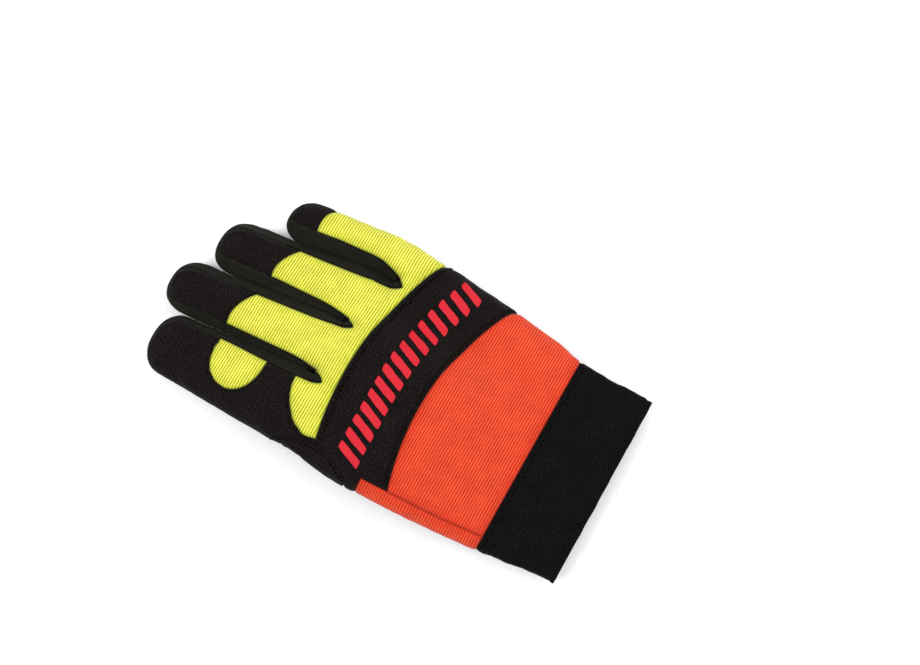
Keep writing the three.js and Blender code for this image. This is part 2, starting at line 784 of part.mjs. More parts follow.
const padSkin = [layerGap, layerGap + padThickness];
const padPlaces = {
  heel_pad: { across: 0.17, along: 0.68, heading: -76.5 },
  thumb_pad: { across: -0.03, along: 0.71, heading: -83 },
};
for (const [name, { heading, ...place }] of Object.entries(padPlaces)) {
  const outline = laidOut(teardrop(padLength, padWidth), onPalm(place), THREE.MathUtils.degToRad(heading));
  addPart(name, layer(prism(outline), ...padSkin), suede);
}

// An outline along +X with a square start and a rounded end
function tongueOutline(start, length, width, endLength) {
  const upper = [0, 0.4, 0.7, 0.9, 0.99].map((share) => new THREE.Vector2(
    length - endLength * (1 - share),
    (width / 2) * closing(share, 2.6),
  ));
  const lower = upper.map((p) => new THREE.Vector2(p.x, -p.y));
  const firstCorner = new THREE.Vector2(start, -width / 2);
  return [firstCorner, ...lower, ...upper.reverse(), new THREE.Vector2(start, width / 2)];
}

// The wrist strap: its sewn end at the little-finger edge, its tab with a bound edge, and the
// loop patch that it closes on
const strapStart = new THREE.Vector2(handEdge('right', cuffLength / 2) - strapInset, cuffLength / 2);
const strapHeading = Math.PI - THREE.MathUtils.degToRad(strapTurn);
const strapBottom = strapLift + press;
const overLoops = layerGap + loopThickness + layerGap;
const strapShape = (outline) => prism(laidOut(outline, strapStart, strapHeading));
const baseShape = strapShape([
  new THREE.Vector2(-strapBaseWidth / 2, -0.56 * strapWidth),
  new THREE.Vector2(strapBaseWidth / 2, -0.56 * strapWidth),
  new THREE.Vector2(strapBaseWidth / 2, 0.56 * strapWidth),
  new THREE.Vector2(-strapBaseWidth / 2, 0.56 * strapWidth),
]);
const tabStart = strapBaseWidth / 2 + layerGap;
const boundShape = strapShape(tongueOutline(tabStart, strapLength, strapWidth, 0.4 * strapWidth));
const insideWidth = strapWidth - 2 * bindingWidth;
const insideLength = strapLength - bindingWidth;
const openShape = strapShape(tongueOutline(tabStart - 1, insideLength, insideWidth, 0.4 * insideWidth));
const tabShape = strapShape(
  tongueOutline(tabStart, insideLength - layerGap, insideWidth - 2 * layerGap, 0.4 * insideWidth),
);
addPart('strap_base', layer(baseShape, layerGap, strapBottom), bindingTape);
addPart('strap_binding', layer(boundShape.subtract(openShape), overLoops, strapBottom), bindingTape);
addPart('strap_tab', layer(tabShape, overLoops, strapBottom - layerGap), coatedTab);

const loopCentre = new THREE.Vector2(0.05 * palmWidth, 0.51 * cuffLength);
const loopOutline = [];
for (let i = 0; i < 16; i += 1) {
  const at = roundedPoint((2 * Math.PI * (i + 0.5)) / 16, 6);
  loopOutline.push(new THREE.Vector2((at.across * loopPatchLength) / 2, (at.up * loopPatchWidth) / 2));
}
const loopShape = prism(laidOut(loopOutline, loopCentre, 0));
addPart('loop_patch', layer(loopShape, layerGap, layerGap + loopThickness), loopPile);

const group = new THREE.Group();
function addMesh({ name, solid, material }) {
  const joined = welded(largest(connectedPieces(solid)), weldLimit);
  const { points, triangles } = connectedPieces(solidFrom(joined.points, joined.triangles))[0];
  const geometry = new THREE.BufferGeometry().setFromPoints(points);
  geometry.setIndex(triangles.flat());
  geometry.computeVertexNormals();
  const body = new THREE.Mesh(geometry, material);
  body.name = name;
  group.add(body);
}
parts.forEach(addMesh);

// The part's origin is the middle of its footprint
const box = new THREE.Box3().setFromObject(group);
group.position.set(-(box.min.x + box.max.x) / 2, -(box.min.y + box.max.y) / 2, -box.min.z);

export default group;
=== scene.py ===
"""A work glove for the right hand, sewn from panels, lying with its back up.

The glove's hollow form is described by a few rounded sections. Every panel is a
grid of cloth that is laid on that form, tucked in at its seams, given its ribs
and folds, and thickened to a wall. Threads, prints and the wrist strap follow.
"""

import logging
import math
from dataclasses import dataclass, field
from enum import Enum
from typing import Callable, Optional, Sequence

import bpy
import numpy as np
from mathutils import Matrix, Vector


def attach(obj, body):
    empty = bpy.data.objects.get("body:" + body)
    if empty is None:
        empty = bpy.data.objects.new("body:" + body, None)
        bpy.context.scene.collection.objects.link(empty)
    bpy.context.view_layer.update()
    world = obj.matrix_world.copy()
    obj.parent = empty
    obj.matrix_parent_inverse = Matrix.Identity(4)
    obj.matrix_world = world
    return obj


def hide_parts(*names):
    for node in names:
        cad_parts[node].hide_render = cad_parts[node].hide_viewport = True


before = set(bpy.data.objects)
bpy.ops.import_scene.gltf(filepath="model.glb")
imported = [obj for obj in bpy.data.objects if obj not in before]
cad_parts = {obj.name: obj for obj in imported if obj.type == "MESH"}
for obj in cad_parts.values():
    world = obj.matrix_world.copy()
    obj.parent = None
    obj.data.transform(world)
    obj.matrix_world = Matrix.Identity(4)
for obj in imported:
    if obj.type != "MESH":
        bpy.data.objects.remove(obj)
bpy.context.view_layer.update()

Array = np.ndarray
Line = Sequence[tuple[float, float]]

LOG = logging.getLogger("glove")

MM = 0.001
SHIFT = np.array([1.319, -121.875, 0.0])
NOTHING = -1000.0


def ramp(start: float, end: float, value: Array) -> Array:
    """Runs smoothly from 0 at one value to 1 at another.

    Args:
        start: Where the result is still 0.
        end: Where the result has become 1.
        value: The values to read.

    Returns:
        A number from 0 to 1 for each value.
    """
    t = np.clip((value - start) / (end - start), 0.0, 1.0)
    return t * t * (3.0 - 2.0 * t)


def through(places: Sequence[float], values: Sequence[float], at: Array) -> Array:
    """Reads a smooth curve through a short table.

    Args:
        places: Rising places of the table.
        values: The value at each place.
        at: Where to read the curve.

    Returns:
        The curve's values.
    """
    x = np.asarray(places, float)
    y = np.asarray(values, float)
    slope = np.gradient(y, x)
    i = np.clip(np.searchsorted(x, at) - 1, 0, len(x) - 2)
    step = x[i + 1] - x[i]
    t = np.clip((at - x[i]) / step, 0.0, 1.0)
    a = (1.0 + 2.0 * t) * (1.0 - t) ** 2 * y[i] + t * (1.0 - t) ** 2 * step * slope[i]
    b = t * t * (3.0 - 2.0 * t) * y[i + 1] + t * t * (t - 1.0) * step * slope[i + 1]
    return a + b


def closing(share: Array, power: float) -> Array:
    """Tells how full a rounded end still is, a share of the way to its tip."""
    return (1.0 - np.clip(share, 0.0, 1.0) ** power) ** (1.0 / power)


def blended_max(a: Array, b: Array, soft: float) -> Array:
    """Takes the higher of two surfaces with a soft crease between them.

    Args:
        a: Heights of one surface.
        b: Heights of the other.
        soft: Height difference over which they blend, in mm.

    Returns:
        Heights of the joined surface.
    """
    near = np.clip(soft - np.abs(a - b), 0.0, None) / soft
    return np.maximum(a, b) + near**3 * soft / 6.0


def waves(x: Array, y: Array, length: float, seed: float) -> Array:
    """Gives gentle uneven swells, like those of cloth that lies loose.

    Args:
        x: Places across, in mm.
        y: Places along, in mm.
        length: Typical distance between swells, in mm.
        seed: A number that picks one pattern.

    Returns:
        Heights from about -1 to 1.
    """
    k = 2.0 * math.pi / length
    total = np.zeros_like(x)
    for i in range(5):
        turn = 2.4 * i + seed
        stretch = k * (0.7 + 0.23 * i)
        phase = 1.7 * seed * (i + 1)
        total += np.sin(stretch * (x * math.cos(turn) + y * math.sin(turn)) + phase)
    return total / 3.2


@dataclass(frozen=True)
class Finger:
    """One finger of the glove, measured in mm from the cuff's open end."""

    name: str
    left: float
    width: float
    tip_width: float
    length: float
    lean: float
    web: float
    gap: float = 0.6
    rounding: float = 15.0

    @property
    def tip(self) -> float:
        """Distance of the fingertip from the cuff's open end."""
        return self.web + self.length

    def middle(self, y: Array) -> Array:
        """Place across of the finger's middle line."""
        return self.left + self.width / 2 + self.lean * np.maximum(0.0, y - GloveForm.palm_end)

    def half(self, y: Array) -> Array:
        """Half of the finger's width, rounded shut towards its tip."""
        end = self.tip - self.rounding
        share = np.clip((y - GloveForm.palm_end) / (end - GloveForm.palm_end), 0.0, 1.0)
        wide = (self.width + (self.tip_width - self.width) * share - self.gap) / 2
        root = np.interp(y, [self.web - 0.2 * self.length, self.web + 0.05 * self.length], [0.82, 1.0])
        return wide * root * closing((y - end) / self.rounding, 2.4)

    def full(self, y: Array) -> Array:
        """How full the finger is, a share of its height."""
        root = np.interp(y, [self.web - 0.2 * self.length, self.web + 0.05 * self.length], [0.82, 1.0])
        return root * closing((y - self.tip + self.rounding) / self.rounding, 2.2)


@dataclass
class GloveForm:
    """The glove's hollow form, from which every panel takes its place."""

    palm_end = 153.0
    cuff_length: float = 41.0
    palm_width: float = 123.0
    palm_length: float = 112.0
    hand_power: float = 3.0
    finger_power: float = 2.4
    flatter_below: float = 1.5
    roll: float = 10.0
    thumb_thickness: float = 12.4
    root_depth: float = 4.5
    fingers: list[Finger] = field(default_factory=list)

    places = (0, 20.5, 41, 54.4, 69, 88, 103.7, 119.4, 137.3, 153)
    left_shares = (-0.433, -0.449, -0.473, -0.486, -0.499, -0.51, -0.516, -0.519, -0.503, -0.5)
    right_shares = (0.402, 0.402, 0.405, 0.425, 0.442, 0.46, 0.471, 0.482, 0.489, 0.491)
    thick_places = (0, 20.5, 41, 54.4, 69, 88, 103.7, 119.4, 137.3, 153, 176.7, 207.7, 244.2)
    thick_sizes = (15.5, 16, 17.4, 19.3, 20.9, 22.8, 23.5, 23.5, 21.4, 19.1, 16.8, 16, 14.4)

    def __post_init__(self) -> None:
        """Sets out the fingers side by side from the thumb edge."""
        left = -self.palm_width / 2
        rows = (
            ("index", 40.0, 33.0, 84.0, -0.014),
            ("middle", 29.8, 28.7, 91.2, -0.073),
            ("ring", 31.7, 29.4, 85.0, -0.1),
            ("little", 21.5, 23.4, 69.0, -0.114),
        )
        for name, width, tip_width, length, lean in rows:
            web = float(self.web_line(np.float64(left + width / 2)))
            self.fingers.append(Finger(name, left, width, tip_width, length, lean, web))
            left += width
        self.index, self.middle, self.ring, self.little = self.fingers

    def web_line(self, x: Array) -> Array:
        """Distance from the cuff's end at which the palm gives way to the fingers."""
        return self.palm_end - 0.327 * np.maximum(0.0, x - 8.3)

    def thumb_lift(self, x: Array, y: Array) -> Array:
        """How far the folded thumb lifts the palm that lies on it."""
        across = 1.0 - ramp(2.69, 27.29, x)
        rise = ramp(41.0, 91.6, y)
        fall = 1.0 - ramp(165.2, 229.6, y)
        return (self.thumb_thickness + 0.3) * across * rise * fall

    def lift(self, x: Array, y: Array) -> Array:
        """Height of the underside over the strap, the pads and the thumb."""
        strap = 3.9 * (1.0 - ramp(52.2, 69.0, y))
        pad = 1.8 * ramp(52.2, 69.0, y) * (1.0 - ramp(153.0, 189.5, y))
        return strap + pad + self.thumb_lift(x, y)

    def deep(self, x: Array, y: Array) -> Array:
        """Half of the form's full thickness."""
        return (through(self.thick_places, self.thick_sizes, y) - 0.3 * self.thumb_lift(x, y)) / 2

    def hand_edge(self, side: int, y: Array) -> Array:
        """Left (-1) or right (1) edge of the cuff and the hand."""
        shares = self.left_shares if side < 0 else self.right_shares
        return through(self.places, shares, y) * self.palm_width

    def edge(self, side: int, y: Array) -> Array:
        """Outer edge of the whole glove, past the hand along its outer fingers."""
        outer = self.index if side < 0 else self.little
        of_finger = outer.middle(y) + side * outer.half(y)
        start, end = (134.0, 152.0) if side < 0 else (118.0, 138.0)
        return self.hand_edge(side, y) + (of_finger - self.hand_edge(side, y)) * ramp(start, end, y)

    def roll_of(self, side: int, y: Array) -> Array:
        """Depth of the zone in which the outline rolls over its edge."""
        outer = self.index if side < 0 else self.little
        start, end = (134.0, 152.0) if side < 0 else (118.0, 138.0)
        return self.roll + (0.6 * outer.half(y) - self.roll) * ramp(start, end, y)

    def _profile(self, c: Array, full: Array, power: float, upper: bool) -> Array:
        """Height of a rounded outline at a share of half its width, from -1 to 1."""
        bend = power if upper else power * self.flatter_below
        up = (1.0 - np.clip(np.abs(c), 0.0, 1.0) ** bend) ** (1.0 / bend)
        return full * up if upper else -full * up

    def of_finger(self, finger: Finger, x: Array, y: Array, upper: bool = True) -> Array:
        """Height of one finger's skin over a place in plan."""
        half = np.maximum(finger.half(y), 1e-3)
        offset = x - finger.middle(y)
        c = offset / half
        deep = self.deep(x, y)
        start = finger.web - 0.2 * finger.length
        sunk = self.root_depth * (1.0 - ramp(start, start + 7.0, y)) * (1.0 if upper else -1.0)
        z = self.lift(x, y) + deep * (1.0 + self._profile(c, finger.full(y), self.finger_power, upper)) - sunk
        outside = np.abs(offset) > half + 0.01
        if finger is self.index:
            outside = offset > half + 0.01
        if finger is self.little:
            outside = offset < -half - 0.01
        outside |= y < start
        return np.where(outside, NOTHING if upper else -NOTHING, z)

    def of_hand(self, x: Array, y: Array, upper: bool = True) -> Array:
        """Height of the hand's skin over a place in plan."""
        left = self.hand_edge(-1, y)
        right = self.hand_edge(1, y)
        c = (x - (left + right) / 2) / ((right - left) / 2)
        web = self.web_line(x)
        full = closing((y - web + 10.1) / 10.1, 2.4)
        z = self.lift(x, y) + self.deep(x, y) * (1.0 + self._profile(c, full, self.hand_power, upper))
        return np.where(y > web, NOTHING if upper else -NOTHING, z)

    def height(self, x: Array, y: Array, upper: bool = True, soft: float = 3.0) -> Array:
        """Height of the joined skin of hand and fingers over a place in plan."""
        z = self.of_hand(x, y, upper)
        for finger in self.fingers:
            other = self.of_finger(finger, x, y, upper)
            z = blended_max(z, other, soft) if upper else -blended_max(-z, -other, soft)
        return np.where(np.abs(z) > 500.0, self.lift(x, y) + self.deep(x, y), z)

    def across(self, q: Array, y: Array) -> tuple[Array, Array]:
        """Turns a distance measured over the skin into a place in plan.

        Args:
            q: Distance across, which goes on over the rolled edges.
            y: Distance from the cuff's open end.

        Returns:
            Places across in plan, and whether each has passed to the far side.
        """
        x = np.array(q, float)
        past = np.zeros(x.shape, bool)
        for side in (-1, 1):
            edge = self.edge(side, y)
            roll = np.maximum(self.roll_of(side, y), 1e-4)
            turn = np.clip(((q - edge) * side + roll) / roll, 0.0, math.pi)
            rolled = turn > 0.0
            x = np.where(rolled, edge - side * roll * (1.0 - np.sin(turn)), x)
            past |= turn > math.pi / 2
        return x, past

    def seam_q(self, side: int, y: Array, upper: bool = True) -> Array:
        """Distance across at which the side seam runs on an outer edge."""
        turn = 1.83 if upper else 1.31
        return self.edge(side, y) + side * (turn - 1.0) * self.roll_of(side, y)

    def lay(self, q: Array, y: Array, upper: bool = True) -> Array:
        """Lays a flat pattern on the back or on the palm side.

        Args:
            q: Distances across over the skin, in mm.
            y: Distances from the cuff's open end, in mm.
            upper: Whether the pattern lies on the back.

        Returns:
            Points in mm, one for each place.
        """
        x, past = self.across(q, y)
        z = np.where(past ^ (not upper), self.height(x, y, False), self.height(x, y, True))
        return np.stack([x, y * np.ones_like(x), z], axis=-1)


FORM = GloveForm()


@dataclass
class Pattern:
    """A piece of cloth as a grid of places, rows along the hand and columns across.

    Attributes:
        q: Distances across, in mm, one row of them for each row of the grid.
        y: Distances along, in mm.
        points: Where the grid lies, in mm.
        outward: Whether rows along +Y and columns along +X face outwards.
        near: Distance of each place from the nearest seam, in mm.
    """

    q: Array
    y: Array
    points: Array
    outward: bool = True
    near: Optional[Array] = None

    def normals(self) -> Array:
        """Directions straight out of the cloth."""
        du = np.gradient(self.points, axis=1)
        dv = np.gradient(self.points, axis=0)
        n = np.cross(du, dv)
        length = np.linalg.norm(n, axis=-1, keepdims=True)
        n = n / np.maximum(length, 1e-9)
        return n if self.outward else -n

    def arc(self) -> Array:
        """Distances across as the cloth itself measures them, down its steep sides too.

        Returns:
            A length in mm for each place, which is q on the middle column.
        """
        steps = np.linalg.norm(np.diff(self.points, axis=1), axis=-1)
        run = np.concatenate([np.zeros((len(steps), 1)), np.cumsum(steps, axis=1)], axis=1)
        middle = self.q.shape[1] // 2
        rising = np.sign(self.q[:, -1:] - self.q[:, :1])
        return self.q[:, middle : middle + 1] + (run - run[:, middle : middle + 1]) * np.where(rising == 0, 1, rising)

    def faced(self, up: float) -> "Pattern":
        """Settles which side is out: the one that looks up (1) or down (-1) on average."""
        self.outward = bool((self.normals()[..., 2].mean() > 0.0) == (up > 0.0)) == self.outward
        return self

    def push(self, height: Array) -> None:
        """Moves the cloth outwards by a height in mm at each place."""
        self.points = self.points + self.normals() * height[..., None]

    def border(self, sides: str = "lrbt") -> list[Array]:
        """The grid's own edges as lines of (q, y): left, right, bottom and top."""
        lines = {
            "l": (self.q[:, 0], self.y[:, 0]),
            "r": (self.q[:, -1], self.y[:, -1]),
            "b": (self.q[0], self.y[0]),
            "t": (self.q[-1], self.y[-1]),
        }
        return [np.stack(lines[side], axis=-1) for side in sides]

    def distance(self, lines: Sequence[Array]) -> Array:
        """Distance of every place from the nearest of some lines, in mm."""
        flat = np.stack([self.q.ravel(), self.y.ravel()], axis=-1)
        best = np.full(len(flat), 1e9)
        for line in lines:
            a = line[:-1]
            run = line[1:] - a
            size = np.maximum((run**2).sum(-1), 1e-12)
            for k in range(0, len(flat), 4000):
                part = flat[k : k + 4000, None, :] - a[None]
                t = np.clip((part * run).sum(-1) / size, 0.0, 1.0)
                gap = part - t[..., None] * run
                best[k : k + 4000] = np.minimum(best[k : k + 4000], np.sqrt((gap**2).sum(-1)).min(1))
        return best.reshape(self.q.shape)


def between(low: Array, high: Array, count: int, crowd: float = 0.0) -> Array:
    """Spreads rows or columns between two borders.

    Args:
        low: The first border.
        high: The second border.
        count: How many to spread.
        crowd: How much they crowd towards the second border, 0 to 1.

    Returns:
        An array whose first axis runs from the first border to the second.
    """
    t = np.linspace(0.0, 1.0, count)
    t = (1.0 - crowd) * t + crowd * np.sin(t * math.pi / 2)
    shape = (count,) + (1,) * np.ndim(low)
    return low + (high - low) * t.reshape(shape)


def srgb(code: str, alpha: float = 1.0) -> tuple[float, float, float, float]:
    """Turns a hex colour as a screen shows it into linear light."""
    parts = [int(code[i : i + 2], 16) / 255 for i in (0, 2, 4)]
    linear = [p / 12.92 if p <= 0.04045 else ((p + 0.055) / 1.055) ** 2.4 for p in parts]
    return (*linear, alpha)


def add_node(tree: bpy.types.NodeTree, kind: str, settings: Optional[dict] = None,
             **links: object) -> bpy.types.Node:
    """Adds a shader node with its settings, values and links.

    Args:
        tree: The material's node tree.
        kind: The node's type name without its ShaderNode prefix.
        settings: Properties of the node.
        links: Inputs by name or place (i0, i1), each a value or an output socket.

    Returns:
        The new node.
    """
    node = tree.nodes.new("ShaderNode" + kind)
    for name, value in (settings or {}).items():
        setattr(node, name, value)
    for name, value in links.items():
        place = int(name[1:]) if name[0] == "i" and name[1:].isdigit() else name.replace("_", " ")
        socket = node.inputs[place]
        if isinstance(value, bpy.types.NodeSocket):
            tree.links.new(value, socket)
        else:
            socket.default_value = value
    return node


def colour_band(tree: bpy.types.NodeTree, factor: bpy.types.NodeSocket,
                stops: Sequence[tuple[float, str]]) -> bpy.types.NodeSocket:
    """Runs a factor through colours at given places of a ramp."""
    node = add_node(tree, "ValToRGB", None, i0=factor)
    elements = node.color_ramp.elements
    while len(elements) < len(stops):
        elements.new(0.5)
    for element, (place, code) in zip(elements, stops):
        element.position = place
        element.color = srgb(code)
    return node.outputs[0]


class Finish:
    """A finish that makes its material once and hands it out again."""

    name: str
    slot: str

    def shade(self, tree: bpy.types.NodeTree, shader: bpy.types.Node) -> None:
        """Builds the nodes that feed the shader."""
        raise NotImplementedError

    def material(self) -> bpy.types.Material:
        """The finish as a Blender material."""
        made = bpy.data.materials.get(self.name)
        if made is None:
            made = bpy.data.materials.new(self.name)
            made.use_nodes = True
            shader = made.node_tree.nodes["Principled BSDF"]
            self.shade(made.node_tree, shader)
        return made


def cloth_place(tree: bpy.types.NodeTree) -> bpy.types.NodeSocket:
    """The place on the flat cloth, in mm across and along."""
    uv = add_node(tree, "UVMap", {"uv_map": "cloth"})
    scale = add_node(tree, "VectorMath", {"operation": "SCALE"}, i0=uv.outputs[0], Scale=1000.0)
    return scale.outputs[0]


def grain(tree: bpy.types.NodeTree, place: bpy.types.NodeSocket, size: float,
          detail: float = 2.0, stretch: tuple[float, float] = (1.0, 1.0)) -> bpy.types.NodeSocket:
    """Noise whose grains have a size in mm, drawn out across or along.

    Args:
        tree: The material's node tree.
        place: Places in mm.
        size: Size of a grain in mm.
        detail: Octaves of finer grain.
        stretch: How many times longer the grains are across and along.

    Returns:
        The noise, about 0.5 on average.
    """
    squeeze = (1.0 / stretch[0], 1.0 / stretch[1], 1.0)
    moved = add_node(tree, "VectorMath", {"operation": "MULTIPLY"}, i0=place, i1=squeeze)
    noise = add_node(tree, "TexNoise", {"noise_dimensions": "2D"}, Vector=moved.outputs[0],
                     Scale=1.0 / size, Detail=detail, Roughness=0.6)
    return noise.outputs[0]


def mixed(tree: bpy.types.NodeTree, factor: object, a: object, b: object,
          blend: str = "MIX") -> bpy.types.NodeSocket:
    """Mixes two colours by a factor."""
    node = add_node(tree, "Mix", {"data_type": "RGBA", "blend_type": blend}, i0=factor, i6=a, i7=b)
    return node.outputs[2]


def sum_of(tree: bpy.types.NodeTree, *terms: tuple[object, float]) -> bpy.types.NodeSocket:
    """Adds heights, each times its own weight."""
    total: object = 0.0
    for socket, weight in terms:
        total = add_node(tree, "Math", {"operation": "MULTIPLY_ADD"}, i0=socket, i1=weight, i2=total).outputs[0]
    return total


def set_bump(tree: bpy.types.NodeTree, shader: bpy.types.Node, height: bpy.types.NodeSocket,
             strength: float) -> None:
    """Feeds a height in mm to the shader as fine relief."""
    bump = add_node(tree, "Bump", None, Strength=strength, Distance=MM, Height=height)
    tree.links.new(bump.outputs[0], shader.inputs["Normal"])


def beside_seams(tree: bpy.types.NodeTree, reach: float) -> bpy.types.NodeSocket:
    """Tells how close a place is to a seam: 1 on it, 0 from a reach in mm on."""
    seam = add_node(tree, "Attribute", {"attribute_name": "seam_distance"})
    near = add_node(tree, "MapRange", {"interpolation_type": "SMOOTHSTEP"}, i0=seam.outputs["Fac"], i1=0.0,
                    i2=reach, i3=1.0, i4=0.0)
    return near.outputs[0]


@dataclass(frozen=True)
class RibbedKnit(Finish):
    """Bright stretch fabric woven in fine ribs, with a painted highlight on the rib crowns and painted shade in the
    grooves, beside the seams and on the seam lines.
    """

    name: str
    slot: str
    # rib: colour of the lit rib crowns, a painted highlight
    rib: str
    body: str
    # painted shade in the grooves between the ribs
    groove_shade: str
    # edge: painted shade that deepens the colour within 7 mm of a seam
    edge: str
    # seam: painted shade on the seam line itself
    seam: str
    pitch: float

    def shade(self, tree: bpy.types.NodeTree, shader: bpy.types.Node) -> None:
        """Paints light and shade on the ribs by their place along the hand, as their relief runs, and paints shade
        beside and on the seams.
        """
        place = cloth_place(tree)
        parts = add_node(tree, "SeparateXYZ", None, i0=place)
        turn = add_node(tree, "Math", {"operation": "MULTIPLY"}, i0=parts.outputs[1], i1=2 * math.pi / self.pitch)
        wave = add_node(tree, "Math", {"operation": "COSINE"}, i0=turn.outputs[0])
        uneven = grain(tree, place, 0.5, 2.0, (5.0, 1.0))
        level = sum_of(tree, (wave.outputs[0], 0.42), (uneven, 0.5))
        level = add_node(tree, "Math", {"operation": "ADD"}, i0=level, i1=0.26).outputs[0]
        # painted light and shade of the ribs: pale lit crowns and shaded grooves, from the same wave as their relief
        colour = colour_band(tree, level, ((0.1, self.groove_shade), (0.45, self.body), (0.85, self.rib)))
        tone = grain(tree, place, 9.0, 1.0)
        shift = colour_band(tree, tone, ((0.3, "e6e6e6"), (0.7, "ffffff")))
        colour = mixed(tree, 0.6, colour, shift, "MULTIPLY")
        # painted shade, deeper towards the seams where the cloth tucks in
        colour = mixed(tree, beside_seams(tree, 7.0), colour, srgb(self.edge), "MULTIPLY")
        # painted shade along the seam line, within 1.1 mm of it
        rim = add_node(tree, "Math", {"operation": "MULTIPLY"}, i0=beside_seams(tree, 1.1), i1=0.75)
        colour = mixed(tree, rim.outputs[0], colour, srgb(self.seam))
        tree.links.new(colour, shader.inputs["Base Color"])
        yarn_turn = add_node(tree, "Math", {"operation": "MULTIPLY"}, i0=parts.outputs[0], i1=2 * math.pi / 0.7)
        yarn = add_node(tree, "Math", {"operation": "SINE"}, i0=yarn_turn.outputs[0])
        fibre = grain(tree, place, 0.16, 2.0, (1.0, 2.5))
        set_bump(tree, shader, sum_of(tree, (yarn.outputs[0], 0.04), (uneven, 0.14), (fibre, 0.16)), 0.8)
        shader.inputs["Roughness"].default_value = 0.85
        shader.inputs["Sheen Weight"].default_value = 0.1
        shader.inputs["Sheen Roughness"].default_value = 0.5
        shader.inputs["Specular IOR Level"].default_value = 0.12


@dataclass(frozen=True)
class NappedCloth(Finish):
    """Dull cloth with a short nap: synthetic suede, knit-faced foam or a smooth stretch cloth.

    The grain is a few tenths of a millimetre on the real cloth and is drawn a little
    coarser, so that it shows.
    """

    name: str
    slot: str
    shadow: str
    body: str
    fleck: str
    size: float
    relief: float
    roughness: float = 0.92
    sheen: float = 0.03

    def shade(self, tree: bpy.types.NodeTree, shader: bpy.types.Node) -> None:
        """Mixes fine grain, sparse lighter flecks and broad brushed patches."""
        place = cloth_place(tree)
        fine = grain(tree, place, self.size, 3.0)
        colour = colour_band(tree, fine, ((0.34, self.shadow), (0.56, self.body), (0.78, self.fleck)))
        brushed = grain(tree, place, 11.0, 2.0)
        shift = colour_band(tree, brushed, ((0.3, "c4c0be"), (0.72, "ffffff")))
        tree.links.new(mixed(tree, 0.8, colour, shift, "MULTIPLY"), shader.inputs["Base Color"])
        coarse = grain(tree, place, 2.4 * self.size, 1.0)
        set_bump(tree, shader, sum_of(tree, (fine, self.relief), (coarse, 0.6 * self.relief)), 0.8)
        shader.inputs["Roughness"].default_value = self.roughness
        shader.inputs["Sheen Weight"].default_value = self.sheen
        shader.inputs["Sheen Roughness"].default_value = 0.5
        shader.inputs["Specular IOR Level"].default_value = 0.1


@dataclass(frozen=True)
class CoatedCloth(Finish):
    """Cloth under a smooth plastic coat: an even tone with a soft gloss and a fine leather-like grain."""

    name: str
    slot: str
    body: str
    worn: str
    roughness: float
    size: float
    relief: float

    def shade(self, tree: bpy.types.NodeTree, shader: bpy.types.Node) -> None:
        """Adds a cell-like grain and slight scuffs."""
        place = cloth_place(tree)
        cells = add_node(tree, "TexVoronoi", {"voronoi_dimensions": "2D"}, Vector=place, Scale=1.0 / self.size)
        scuff = grain(tree, place, 5.0, 3.0)
        colour = colour_band(tree, scuff, ((0.4, self.body), (0.75, self.worn)))
        tree.links.new(colour, shader.inputs["Base Color"])
        rough = add_node(tree, "MapRange", None, i0=scuff, i1=0.3, i2=0.7, i3=self.roughness - 0.06,
                         i4=self.roughness + 0.1)
        tree.links.new(rough.outputs[0], shader.inputs["Roughness"])
        set_bump(tree, shader, sum_of(tree, (cells.outputs[0], self.relief)), 0.8)


@dataclass(frozen=True)
class PlainFinish(Finish):
    """A small even finish with a fine tooth: sewing thread, moulded print or painted board."""

    name: str
    slot: str
    body: str
    shade_to: str
    roughness: float
    size: float
    relief: float = 0.02
    gloss: float = 0.4

    def shade(self, tree: bpy.types.NodeTree, shader: bpy.types.Node) -> None:
        """Adds a faint unevenness of tone and relief."""
        place = cloth_place(tree)
        noise = grain(tree, place, self.size, 2.0)
        colour = colour_band(tree, noise, ((0.35, self.shade_to), (0.65, self.body)))
        tree.links.new(colour, shader.inputs["Base Color"])
        set_bump(tree, shader, sum_of(tree, (noise, self.relief)), 0.6)
        shader.inputs["Roughness"].default_value = self.roughness
        shader.inputs["Specular IOR Level"].default_value = self.gloss


# The rib and groove colours are painted light and shade of the ribs; the edge and seam colours are painted shade beside
# and on the seams.
LIME = RibbedKnit("polyester_rib_lime", "lime_knit", "e8e668", "d2ce38", "949418", "f2f4d8", "4f6a10", 1.42)
ORANGE = RibbedKnit("polyester_rib_orange", "orange_knit", "de5230", "cc3a1c", "ac2810", "f8dcd6", "8c1c0a", 1.4)
SUEDE = NappedCloth("synthetic_suede", "suede", "020202", "0c0908", "40302b", 0.7, 0.36)
PAD_SUEDE = NappedCloth("padded_synthetic_suede", "padded_suede", "020202", "0c0908", "40302b", 0.7, 0.36)
SIDE_CLOTH = NappedCloth("stretch_side_cloth", "side_fabric", "0f0e0a", "191811", "242218", 0.3, 0.03, 0.8, 0.03)
NEOPRENE = NappedCloth("knit_faced_neoprene", "neoprene", "000000", "030303", "2c2929", 0.66, 0.3, 0.9, 0.0)
LOOP_PILE = NappedCloth("nylon_loop_pile", "loop_pile", "0a0a0b", "1d1e1f", "45464a", 0.6, 0.35, 0.95, 0.2)
COATED = CoatedCloth("coated_polyester", "coated_tab", "2f2e31", "353438", 0.5, 0.8, 0.05)
BINDING = CoatedCloth("folded_edge_tape", "binding_tape", "3c3b40", "45444a", 0.4, 1.2, 0.04)
BLACK_THREAD = PlainFinish("spun_polyester_thread", "side_fabric", "040404", "010101", 0.9, 0.2, 0.02, 0.0)
ORANGE_THREAD = PlainFinish("spun_orange_thread", "orange_knit", "e8502c", "c23a1a", 0.5, 0.2)
RED_PRINT = PlainFinish("moulded_rubber_print", "suede", "c01828", "b21422", 0.6, 0.5, 0.01, 0.2)


class Face(Enum):
    """The side of the glove that a piece lies on."""

    BACK = True
    PALM = False


def deselect() -> None:
    """Leaves nothing selected, so that an operator acts on the new piece alone."""
    bpy.ops.object.select_all(action="DESELECT")


